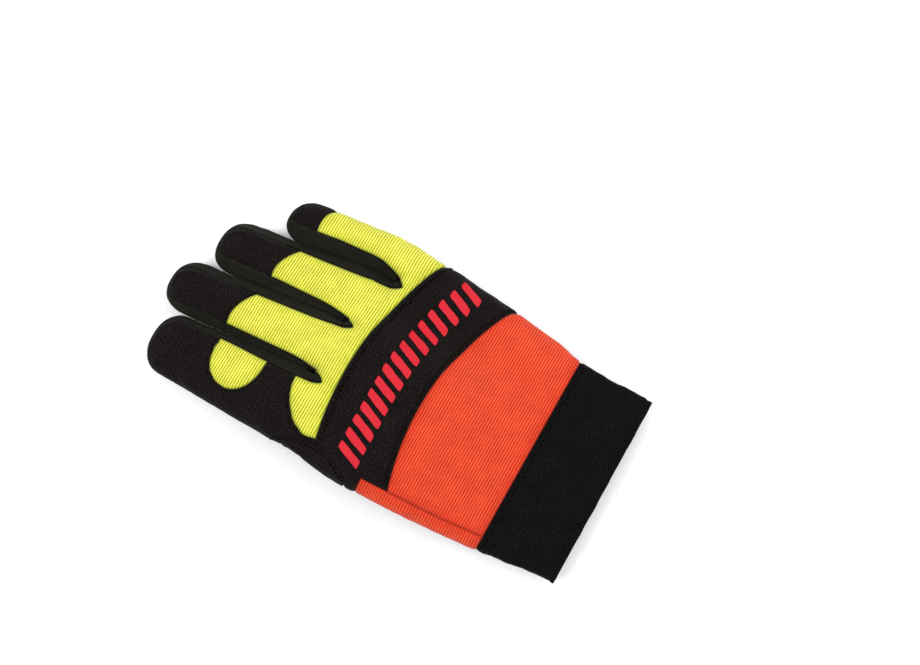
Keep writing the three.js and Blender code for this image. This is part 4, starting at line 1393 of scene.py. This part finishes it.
@dataclass
class PalmPanels:
    """The panels of the palm side and the undersides of the fingers."""

    wall: float = 1.2
    wrist_seam: float = 55.0
    palm_seam: float = 130.0
    palm_slant: float = 0.13
    wave_rise: float = 13.0
    suede_drape: Drape = Drape(tuck=0.8, reach=1.1, ridge=0.3, loose=0.25, seed=9.4)

    def cross_seam(self, q: Array) -> Array:
        """The slanting seam across the palm."""
        return self.palm_seam - self.palm_slant * np.clip(q, -62.0, 62.0)

    def wave(self, q: Array) -> Array:
        """The wavy seam at the finger roots, one wave for each finger."""
        y = FORM.web_line(np.clip(q, -61.0, 61.0)) - 0.5
        for finger in FORM.fingers:
            share = np.clip((q - finger.left) / finger.width, 0.0, 1.0)
            y = y + (self.wave_rise + 1.0) * np.sin(math.pi * share) ** 2
        return y

    def panel(self, name: str, levels: Sequence[Level], size: tuple[int, int], finish: Finish,
              sewn: Sequence[Array] = ()) -> bpy.types.Object:
        """One panel of the palm side between the side seams."""
        pattern = laid(lambda y: FORM.seam_q(-1, y, False), lambda y: FORM.seam_q(1, y, False), levels,
                       [shares(size[0], Spacing.DENSE_ENDS)], shares(size[1], Spacing.DENSE_ENDS), Face.PALM)
        self.suede_drape.apply(pattern, pattern.border("lrbt"), sewn)
        return dress(thickened(grid_object(name, pattern), self.wall), finish, name)

    def finger_palm(self, finger: Finger) -> bpy.types.Object:
        """The underside of one finger."""
        share = SideCloths().underside_share
        outer_left, outer_right = finger is FORM.index, finger is FORM.little
        left = (lambda y: FORM.seam_q(-1, y, False)) if outer_left else (
            lambda y: finger.middle(y) - share * finger.half(y))
        right = (lambda y: FORM.seam_q(1, y, False)) if outer_right else (
            lambda y: finger.middle(y) + share * finger.half(y))

        def start(u: Array, q: Array) -> Array:
            within = np.clip(q, finger.left + 0.05 * finger.width, finger.left + 0.95 * finger.width)
            return self.wave(within)

        pattern = laid(left, right, [start, fixed(finger.tip)], [shares(60, Spacing.DENSE_LAST)],
                       shares(30, Spacing.DENSE_ENDS), Face.PALM)
        self.suede_drape.apply(pattern, pattern.border("lrb"), tip=finger.tip)
        name = f"{finger.name}_palm"
        return dress(thickened(joined([grid_object(name, pattern)]), self.wall), SUEDE, name)

    def build(self) -> list[bpy.types.Object]:
        """Builds the palm side."""
        wrist = self.panel("wrist_panel", [fixed(41.0), fixed(self.wrist_seam)], (16, 90), NEOPRENE)
        palm = self.panel("palm_panel", [fixed(self.wrist_seam), lambda u, q: self.cross_seam(q)], (80, 110), SUEDE)
        patch = self.panel("palm_patch", [lambda u, q: self.cross_seam(q), lambda u, q: self.wave(q)],
                           (50, 240), SUEDE)
        return [wrist, palm, patch] + [self.finger_palm(finger) for finger in FORM.fingers]


@dataclass
class Thumb:
    """The thumb of the glove, folded under the palm."""

    root: tuple[float, float] = (-39.98, 82.44)
    turn: float = 20.0
    length: float = 92.0
    width: float = 32.0
    thickness: float = 12.4
    swell: float = 3.2
    rise: float = 1.5
    wall: float = 1.2

    def build(self) -> list[bpy.types.Object]:
        """Builds the thumb as a flattened tube with rounded ends."""
        share = np.concatenate([-0.985 * np.sin(np.linspace(math.pi / 2, 0.0, 16))[:-1],
                                0.995 * shares(60, Spacing.DENSE_LAST)])
        angle = np.linspace(0.0, 2 * math.pi, 65)
        s = np.broadcast_to(share[:, None], (len(share), 65))
        a = np.broadcast_to(angle, s.shape)
        along = np.where(s < 0.0, 0.2 * s, s)
        shut = np.where(s < 0.0, closing(-s, 2.2), closing((s - 0.58) / 0.42, 2.4))
        fuller = 1.0 - ramp(-0.1, 0.5, along)
        half = self.width * (0.5 + 0.08 * fuller) * shut
        deep = self.thickness / 2 + self.swell * fuller
        aside = np.sign(np.cos(a)) * np.abs(np.cos(a)) ** (2 / 2.4)
        up = np.abs(np.sin(a)) ** (2 / 2.4)
        up = np.where(np.sin(a) >= 0.0, up, -(np.abs(np.sin(a)) ** (2 / 3.6)))
        wrinkle = 0.35 * waves(along * self.length, aside * 16.0, 14.0, 4.2) * shut
        bearing = math.radians(self.turn)
        axis = (math.sin(bearing), math.cos(bearing))
        x = self.root[0] + axis[0] * along * self.length + axis[1] * aside * half
        y = self.root[1] + axis[1] * along * self.length - axis[0] * aside * half
        z = np.maximum(deep + self.rise * fuller + (deep - 0.3) * shut * up + wrinkle * up, 0.0)
        seam = np.exp(-((np.abs(np.sin(a)) * 9.0 / 1.2) ** 2)) * shut
        inward = np.sign(np.cos(a)) * seam * 0.7
        points = np.stack([x - axis[1] * inward, y + axis[0] * inward, z], axis=-1)
        pattern = Pattern(a * 15.0, along * self.length, points, True)
        piece = joined([grid_object("thumb", pattern)])
        bpy.ops.object.mode_set(mode="EDIT")
        bpy.ops.mesh.select_all(action="SELECT")
        bpy.ops.mesh.normals_make_consistent(inside=False)
        bpy.ops.object.mode_set(mode="OBJECT")
        return [dress(thickened(piece, self.wall), SUEDE, "thumb")]


@dataclass
class Cuff:
    """The wide black cuff, a soft ring that is open at its end."""

    wall: float = 2.4
    length: float = 41.0
    drape: Drape = Drape(tuck=0.7, reach=1.2, loose=0.5, seed=6.1)

    def build(self) -> list[bpy.types.Object]:
        """Builds the cuff from its back and palm halves, joined at the side seams."""
        halves = []
        for face in (Face.BACK, Face.PALM):
            upper = face.value
            pattern = laid(lambda y, f=upper: FORM.seam_q(-1, y, f), lambda y, f=upper: FORM.seam_q(1, y, f),
                           [fixed(0.0), fixed(self.length)], [shares(60, Spacing.DENSE_ENDS)],
                           shares(120, Spacing.DENSE_ENDS), face)
            ends = pattern.border("t")
            sewn = [polyline(np.linspace(-70.0, 70.0, 40), np.full(40, 2.6))]
            halves.append(self.drape.apply(pattern, ends, sewn))
        parts = [grid_object("cuff", half) for half in halves]
        return [dress(thickened(joined(parts, 0.15), self.wall), NEOPRENE, "cuff")]


@dataclass
class PalmPads:
    """The two padded teardrops on the palm."""

    length: float = 54.0
    width: float = 20.0
    thickness: float = 1.8

    places = {"heel_pad": ((20.9, 117.2), -76.5), "thumb_pad": ((-3.7, 120.5), -83.0)}

    def half_width(self, share: Array) -> Array:
        """Half of the teardrop's width, a share of the way from its point."""
        return 0.55 * self.width * share**0.55 * closing(share, 5.0)

    def outline(self, name: str, inset: float) -> Array:
        """The pad's outline as a line of (q, y), moved inwards by a distance.

        Args:
            name: The pad's name.
            inset: How far inside its edge the line runs; negative outside it.

        Returns:
            The line.
        """
        start, heading = self.places[name]
        share = np.concatenate([shares(60, Spacing.DENSE_ENDS), shares(60, Spacing.DENSE_ENDS)[::-1]])
        half = self.half_width(np.clip(share, 0.004, 0.999)) * np.repeat([1.0, -1.0], 60)
        line = np.stack([share * self.length, half], axis=-1)
        run = np.gradient(line, axis=0)
        run /= np.maximum(np.linalg.norm(run, axis=1, keepdims=True), 1e-9)
        line = line + inset * np.stack([run[:, 1], -run[:, 0]], axis=-1)
        turn = math.radians(heading)
        x = start[0] + math.cos(turn) * line[:, 0] - math.sin(turn) * line[:, 1]
        y = start[1] + math.sin(turn) * line[:, 0] + math.cos(turn) * line[:, 1]
        return polyline(x, y)[3:-3]

    def pad(self, name: str) -> bpy.types.Object:
        """One domed pad, sewn down around its edge and puckered there."""
        start, heading = self.places[name]
        share = 0.002 + 0.996 * shares(70, Spacing.DENSE_ENDS)[:, None]
        aside = (2.0 * shares(34, Spacing.DENSE_ENDS) - 1.0)[None, :]
        share, aside = np.broadcast_arrays(share, aside)
        turn = math.radians(heading)
        half = self.half_width(share)
        x = start[0] + math.cos(turn) * share * self.length - math.sin(turn) * aside * half
        y = start[1] + math.sin(turn) * share * self.length + math.cos(turn) * aside * half
        pattern = Pattern(x, y, FORM.lay(x, y, False)).faced(-1.0)
        near = pattern.distance(pattern.border("lrbt"))
        dome = 0.3 + (self.thickness + 0.2) * (1.0 - np.exp(-((near / 2.6) ** 2)))
        pucker = 0.16 * np.sin(2 * math.pi * (share * self.length) / 3.1) * np.exp(-((near - 2.2) / 1.4) ** 2)
        sewn = -0.45 * np.exp(-(((near - 1.6) / 0.5) ** 2))
        points = pattern.points.copy()
        points[..., 2] = np.maximum(points[..., 2] - (dome + pucker + sewn), 0.0)
        pattern.points = points
        piece = dress(thickened(joined([grid_object(name, pattern)]), 1.0), PAD_SUEDE, name)
        return piece

    def build(self) -> list[bpy.types.Object]:
        """Builds both pads."""
        return [self.pad(name) for name in self.places]


@dataclass
class WristStrap:
    """The strap across the cuff's palm side: sewn base, bound tab and its loop patch."""

    start: tuple[float, float] = (43.9, 20.5)
    heading: float = 159.3
    length: float = 58.0
    width: float = 31.0
    binding: float = 3.0
    base_width: float = 5.0
    over_loops: float = 1.8
    depth: float = 2.4

    def place(self, along: Array, aside: Array) -> tuple[Array, Array]:
        """Turns places along and beside the strap into places in plan."""
        turn = math.radians(self.heading)
        x = self.start[0] + math.cos(turn) * along - math.sin(turn) * aside
        y = self.start[1] + math.sin(turn) * along + math.cos(turn) * aside
        return x, y

    def half_width(self, along: Array, length: float, width: float) -> Array:
        """Half of a tab's width, which rounds off at its far end."""
        end = 0.4 * width
        return width / 2 * closing((along - length + end) / end, 2.6)

    def outline(self, length: float, width: float) -> Array:
        """The outline of a tab of some length and width, as a line of (q, y)."""
        end = 0.4 * width
        turn = np.linspace(0.0, math.pi, 50)
        run = np.linspace(4.5, length - end, 30)[:-1]
        along = np.concatenate([run, length - end + end * np.sin(turn) ** (2 / 2.6), run[::-1]])
        cap = width / 2 * np.sign(np.cos(turn)) * np.abs(np.cos(turn)) ** (2 / 2.6)
        aside = np.concatenate([np.full(29, width / 2), cap, np.full(29, -width / 2)])
        return polyline(*self.place(along, aside))

    def sheet(self, name: str, along: Array, aside: Array, under: Array, finish: Finish,
              node: Optional[str] = None, wall: float = 0.8) -> bpy.types.Object:
        """Makes one layer under the skin at given depths below it."""
        x, y = self.place(along, aside)
        skin = FORM.lay(x, y, False)
        skin[..., 2] = np.maximum(skin[..., 2] - under, 0.0)
        pattern = Pattern(along, aside, skin).faced(-1.0)
        piece = joined([grid_object(name, pattern)])
        return dress(thickened(piece, wall), finish, *([node] if node else []))

    def tab(self) -> bpy.types.Object:
        """The smooth coated face of the tab inside its binding."""
        length, width = self.length - self.binding, self.width - 2 * self.binding
        share, aside = np.broadcast_arrays(shares(60, Spacing.DENSE_LAST)[:, None],
                                           (2 * shares(30) - 1.0)[None, :])
        along = 2.8 + (length - 2.8) * share
        half = self.half_width(along, length, width)
        puff = self.over_loops + 1.9 + 0.2 * (1.0 - aside**2) + 0.12 * waves(along, aside * half, 16.0, 2.0)
        return self.sheet("strap_tab", along, -aside * half, puff, COATED, "strap_tab", 1.2)

    def rolled_binding(self) -> bpy.types.Object:
        """The tape folded round the tab's edge."""
        t = np.linspace(0.0, 1.0, 150)
        inner = self.length - self.binding / 2
        width = self.width - self.binding
        end = 0.4 * width
        straight = inner - end - 2.8
        turn = np.linspace(0.0, math.pi, 70)
        cap_x = inner - end + end * np.sin(turn) ** (2 / 2.6)
        cap_y = width / 2 * np.sign(np.cos(turn)) * np.abs(np.cos(turn)) ** (2 / 2.6)
        run = 2.8 + straight * t[:-1] / t[-1]
        mid = np.concatenate([np.stack([run, np.full_like(run, width / 2)], -1), np.stack([cap_x, cap_y], -1),
                              np.stack([run[::-1], np.full_like(run, -width / 2)], -1)])
        tangent = np.gradient(mid, axis=0)
        tangent /= np.maximum(np.linalg.norm(tangent, axis=1, keepdims=True), 1e-9)
        aside = np.stack([-tangent[:, 1], tangent[:, 0]], -1)
        angle = np.linspace(0.0, 2 * math.pi, 17)
        across = self.binding / 2 * np.sign(np.cos(angle)) * np.abs(np.cos(angle)) ** 0.8
        height = self.over_loops + 1.2 + 1.2 * np.sign(np.sin(angle)) * np.abs(np.sin(angle)) ** 0.8
        plan = mid[:, None, :] + aside[:, None, :] * across[None, :, None]
        under = np.broadcast_to(height, plan.shape[:2])
        gather = 0.08 * np.sin(2 * math.pi * np.arange(len(mid)) / 5.0)[:, None]
        x, y = self.place(plan[..., 0], plan[..., 1])
        skin = FORM.lay(x, y, False)
        skin[..., 2] = np.maximum(skin[..., 2] - under - gather * (under > self.over_loops + 1.2), 0.0)
        length = np.concatenate([[0.0], np.cumsum(np.linalg.norm(np.diff(mid, axis=0), axis=1))])
        q, v = np.broadcast_arrays((angle * 1.5)[None, :], length[:, None])
        piece = joined([grid_object("strap_binding", Pattern(q, v, skin, True))])
        bpy.ops.object.mode_set(mode="EDIT")
        bpy.ops.mesh.select_all(action="SELECT")
        bpy.ops.mesh.fill_holes(sides=40)
        bpy.ops.mesh.normals_make_consistent(inside=False)
        bpy.ops.object.mode_set(mode="OBJECT")
        return dress(thickened(piece, 0.0), BINDING, "strap_binding")

    def base(self) -> bpy.types.Object:
        """The strap's sewn end, with three stitched ribs along it."""
        aside, along = np.broadcast_arrays((2 * shares(40) - 1.0)[:, None], np.linspace(-2.5, 2.5, 25)[None, :])
        ribs = 0.35 * np.abs(np.sin(1.5 * math.pi * (along + 2.5) / 5.0))
        edge = ramp(0.0, 0.6, 2.5 - np.abs(along)) * ramp(0.0, 0.04, 1.0 - np.abs(aside))
        under = 0.3 + 3.2 * edge + ribs
        return self.sheet("strap_base", along, aside * 0.56 * self.width, under, BINDING, "strap_base", 0.8)

    def loops(self) -> bpy.types.Object:
        """The fuzzy patch that the tab closes on."""
        centre, half = (6.15, 20.9), (23.0, 16.5)
        v, u = np.broadcast_arrays((2 * shares(50, Spacing.DENSE_ENDS) - 1.0)[:, None],
                                   (2 * shares(60, Spacing.DENSE_ENDS) - 1.0)[None, :])
        x = centre[0] + half[0] * u * closing(0.98 * np.abs(v), 9.0)
        y = centre[1] + half[1] * v
        pile = 0.12 * waves(x, y, 2.2, 8.0) + 0.06 * waves(x, y, 1.1, 3.0)
        rim = ramp(0.0, 0.05, 1.0 - np.maximum(np.abs(u), np.abs(v)))
        skin = FORM.lay(x, y, False)
        skin[..., 2] -= 0.3 + 1.1 * rim + pile * rim
        piece = joined([grid_object("loop_patch", Pattern(x, y, skin).faced(-1.0))])
        return dress(thickened(piece, 0.6), LOOP_PILE, "loop_patch")

    def build(self) -> list[bpy.types.Object]:
        """Builds the strap's four parts."""
        return [self.base(), self.rolled_binding(), self.tab(), self.loops()]


@dataclass
class Sewing:
    """The visible threads, sewn into the finished pieces."""

    pieces: dict[str, bpy.types.Object]
    plain: Thread = Thread()
    fine: Thread = Thread(length=1.1, pitch=1.5, width=0.34)
    rim: Thread = Thread(length=1.25, pitch=1.4, width=0.5, sink=0.1)
    orange: Thread = Thread(length=1.5, pitch=2.2, width=0.34, finish=ORANGE_THREAD)

    def on_back(self) -> list[bpy.types.Object]:
        """The rows on the back of the hand."""
        band, cuff = self.pieces["back_band"], self.pieces["cuff"]
        q = np.linspace(-50.0, 57.0, 160)
        rows = [self.plain.row(f"band_row_{i}", band, polyline(q, SEAMS.lime_bottom(q) - off))
                for i, off in enumerate((1.6, 4.2))]
        q = np.linspace(-54.5, 56.5, 200)
        edge = SEAMS.orange_top(q)
        rows.append(self.fine.row("orange_edge_row", band, polyline(q, edge + 2.6)))
        zigzag = np.linspace(-54.5, 56.5, 80)
        hop = np.where(np.arange(80) % 2 == 0, -0.2, 1.5)
        rows.append(Thread(length=1.5, pitch=1.75, width=0.34).row(
            "orange_edge_zigzag", band, polyline(zigzag, SEAMS.orange_top(zigzag) + hop)))
        y = np.linspace(43.0, 104.0, 60)
        strip = self.pieces["side_strip"]
        rows.append(self.orange.row("side_strip_row", strip, polyline(SEAMS.strip_side(y) - 1.3, y)))
        q = np.linspace(-56.0, 48.0, 120)
        rows.append(self.fine.row("cuff_row", cuff, polyline(q, np.full_like(q, 38.2))))
        y = np.linspace(115.0, 153.0, 40)
        rows.append(self.plain.row("gusset_row", self.pieces["thumb_gusset"], polyline(SEAMS.gusset_side(y) - 1.4, y)))
        return rows

    def on_fingers(self) -> list[bpy.types.Object]:
        """The rows along the finger seams and around the index finger's patch and tongue."""
        back = self.pieces["index_back"]
        patch = FingerBacks().patch_outline()
        centre = np.array([SEAMS.right_of(FORM.index, np.float64(190.5)) - 8.0, 190.5])
        out = (patch - centre) / np.linalg.norm(patch - centre, axis=1, keepdims=True)
        rows = [self.fine.row("patch_row", back, (patch + 1.5 * out)[3:-3])]
        y = np.linspace(136.5, 158.3, 50)
        rows.append(self.fine.row("tongue_row", back, polyline(SEAMS.tongue_side(y) - 1.3, y)))
        for gap in range(3):
            web = SEAMS.apexes[gap][1]
            for side, finger in ((-1, FORM.fingers[gap]), (1, FORM.fingers[gap + 1])):
                end = finger.web + 0.62 * finger.length
                start = web + (9.0 if (gap, side) == (0, 1) else 0.3)
                y = start + (end - start) * np.linspace(0.0, 1.0, 90) ** 1.5
                line = polyline(SEAMS.beside(gap, side, y) - side * -0.05, y)
                cloth = self.pieces[f"fourchette_{FORM.fingers[gap].name}_{FORM.fingers[gap + 1].name}"]
                rows.append(self.rim.row(f"rim_{finger.name}_{'right' if side < 0 else 'left'}", cloth, line))
        return rows

    def on_palm(self) -> list[bpy.types.Object]:
        """The rows on the palm side, the pads and the strap."""
        palm = PalmPanels()
        q = np.linspace(-59.0, 57.0, 260)
        patch, lower, cuff = self.pieces["palm_patch"], self.pieces["palm_panel"], self.pieces["cuff"]
        rows = [self.plain.row(f"wave_row_{i}", patch, polyline(q, palm.wave(q) - off), Face.PALM)
                for i, off in enumerate((1.6, 4.4))]
        rows.append(self.plain.row("palm_seam_row", lower, polyline(q, palm.cross_seam(q) - 1.7), Face.PALM))
        q = np.linspace(-57.0, 49.0, 80)
        rows.append(self.plain.row("wrist_seam_row", lower, polyline(q, np.full_like(q, 56.8)), Face.PALM))
        rows.append(self.plain.row("cuff_palm_row", cuff, polyline(q, np.full_like(q, 38.2)), Face.PALM))
        pads = PalmPads()
        for name in pads.places:
            for i, (inset, thread) in enumerate(((1.6, self.fine), (-1.4, self.fine))):
                rows.append(thread.row(f"{name}_row_{i}", self.pieces[name] if inset > 0 else lower,
                                       pads.outline(name, inset), Face.PALM))
        return rows + self.on_strap()

    def on_strap(self) -> list[bpy.types.Object]:
        """The stitches inside the strap's binding and the three rows over its base."""
        strap = WristStrap()
        inside = strap.outline(strap.length - 1.25 * strap.binding, strap.width - 2.5 * strap.binding)
        rows = [self.fine.row("binding_row", self.pieces["strap_tab"], inside, Face.PALM)]
        aside = np.linspace(-15.5, 15.5, 30)
        for i, along in enumerate((-1.6, 0.0, 1.6)):
            x, y = strap.place(np.full_like(aside, along), aside)
            rows.append(self.fine.row(f"base_row_{i}", self.pieces["strap_base"], polyline(x, y), Face.PALM))
        return rows

    def build(self) -> list[bpy.types.Object]:
        """Sews every row."""
        return self.on_back() + self.on_fingers() + self.on_palm()


@dataclass
class BandBars:
    """Raised slanted bars, moulded on the black band in a row from edge to edge."""

    band: bpy.types.Object
    count: int = 15
    first: float = -49.6
    last: float = 51.5
    width: float = 4.3
    height: float = 13.0
    slant: float = 0.42
    raised: float = 0.55

    middle_q = (-54.0, -29.0, 6.5, 30.0, 53.6)
    middle_y = (116.5, 117.0, 116.0, 112.0, 104.5)

    def bar(self, place: float) -> bpy.types.Object:
        """One bar with rounded corners, laid on the band."""
        v, u = np.broadcast_arrays((2 * shares(27, Spacing.DENSE_ENDS) - 1.0)[:, None], np.linspace(-1.0, 1.0, 9)[None, :])
        half = self.width / 2 * closing(0.998 * np.abs(v), 7.0)
        y = through(self.middle_q, self.middle_y, np.float64(place)) + v * self.height / 2
        q = place + u * half + self.slant * v * self.height / 2
        line = np.stack([q, y], axis=-1).reshape(-1, 2)
        points = on_surface(self.band, line, Face.BACK, self.raised).reshape(27, 9, 3) / MM - SHIFT
        near = np.minimum(1.0 - np.abs(u), 1.0 - np.abs(v) ** 9)
        pattern = Pattern(q, y, points)
        pattern.push(-0.3 * (1.0 - ramp(0.0, 0.35, near)))
        return grid_object("band_bars", pattern)

    def build(self) -> list[bpy.types.Object]:
        """Moulds the whole row as one piece."""
        bars = [self.bar(place) for place in np.linspace(self.first, self.last, self.count)]
        return [dress(thickened(joined(bars), 0.8), RED_PRINT)]


@dataclass
class Studio:
    """The pale floor, the soft lights and the camera over the glove."""

    target: tuple[float, float, float] = (0.0369, -0.0191, 0.0)
    back: tuple[float, float, float] = (-0.181, -0.102, 0.978)
    distance: float = 0.92
    lens: float = 70.4

    def floor(self) -> bpy.types.Object:
        """A pale board under the glove, with a faint tooth."""
        deselect()
        bpy.ops.mesh.primitive_plane_add(size=30.0, location=(0.0, 0.0, 0.0))
        board = bpy.context.active_object
        board.name = "floor"
        board.data.uv_layers[0].name = "cloth"
        made = bpy.data.materials.new("matt_white_board")
        made.use_nodes = True
        shader = made.node_tree.nodes["Principled BSDF"]
        spot = add_node(made.node_tree, "TexCoord")
        noise = add_node(made.node_tree, "TexNoise", None, Vector=spot.outputs["Object"], Scale=400.0)
        tone = colour_band(made.node_tree, noise.outputs[0], ((0.3, "f6f6f6"), (0.7, "fbfbfb")))
        made.node_tree.links.new(tone, shader.inputs["Base Color"])
        shader.inputs["Roughness"].default_value = 0.9
        board.data.materials.append(made)
        return board

    def light(self, name: str, place: Sequence[float], size: float, power: float) -> bpy.types.Object:
        """A soft square light that faces the glove."""
        deselect()
        bpy.ops.object.light_add(type="AREA", location=place)
        lamp = bpy.context.active_object
        lamp.name = name
        lamp.data.size = size
        lamp.data.energy = power
        lamp.rotation_euler = (Vector(self.target) - Vector(place)).to_track_quat("-Z", "Y").to_euler()
        return lamp

    def camera(self) -> bpy.types.Object:
        """The camera at the photograph's angle."""
        deselect()
        back = Vector(self.back).normalized()
        bpy.ops.object.camera_add(location=Vector(self.target) + back * self.distance)
        camera = bpy.context.active_object
        camera.rotation_euler = back.to_track_quat("Z", "Y").to_euler()
        right = Vector((0.491, -0.871, 0.0))
        up = back.cross(right).normalized()
        right = up.cross(back)
        matrix = camera.matrix_world.copy()
        for row in range(3):
            matrix[row][0], matrix[row][1], matrix[row][2] = right[row], up[row], back[row]
        camera.matrix_world = matrix
        camera.data.lens = self.lens
        camera.data.sensor_width = 36.0
        camera.data.clip_start = 0.01
        bpy.context.scene.camera = camera
        return camera

    def build(self) -> None:
        """Sets out floor, lights, camera and surrounding light."""
        self.floor()
        self.light("key_light", (-0.5, 0.5, 1.3), 0.9, 14.0)
        self.light("fill_light", (0.52, -0.2, 0.62), 0.6, 3.2)
        self.light("far_light", (0.1, -1.1, 0.9), 1.0, 5.0)
        world = bpy.data.worlds.new("soft_room")
        world.use_nodes = True
        world.node_tree.nodes["Background"].inputs["Color"].default_value = srgb("f4f5f7")
        world.node_tree.nodes["Background"].inputs["Strength"].default_value = 0.75
        bpy.context.scene.world = world
        bpy.context.scene.view_settings.view_transform = "Standard"
        self.camera()


def reported(assembly: object, built: Sequence[bpy.types.Object]) -> dict[str, bpy.types.Object]:
    """Reports the pieces of an assembly.

    Args:
        assembly: The assembly that built them.
        built: The pieces.

    Returns:
        The pieces by name, without the number that Blender adds.
    """
    LOG.info("%s: %s", type(assembly).__name__, ", ".join(piece.name for piece in built))
    return {piece.name.split(".")[0]: piece for piece in built}


def main() -> None:
    """Builds the glove and its studio."""
    logging.basicConfig(level=logging.INFO, format="%(message)s")
    Studio().build()
    made: dict[str, bpy.types.Object] = {}
    for assembly in (Cuff(), BackPanels(), FingerBacks(), SideCloths(), PalmPanels(), Thumb(), PalmPads(),
                     WristStrap()):
        made.update(reported(assembly, assembly.build()))
    for assembly in (Sewing(made), BandBars(made["back_band"])):
        reported(assembly, assembly.build())


if __name__ == "__main__":
    main()
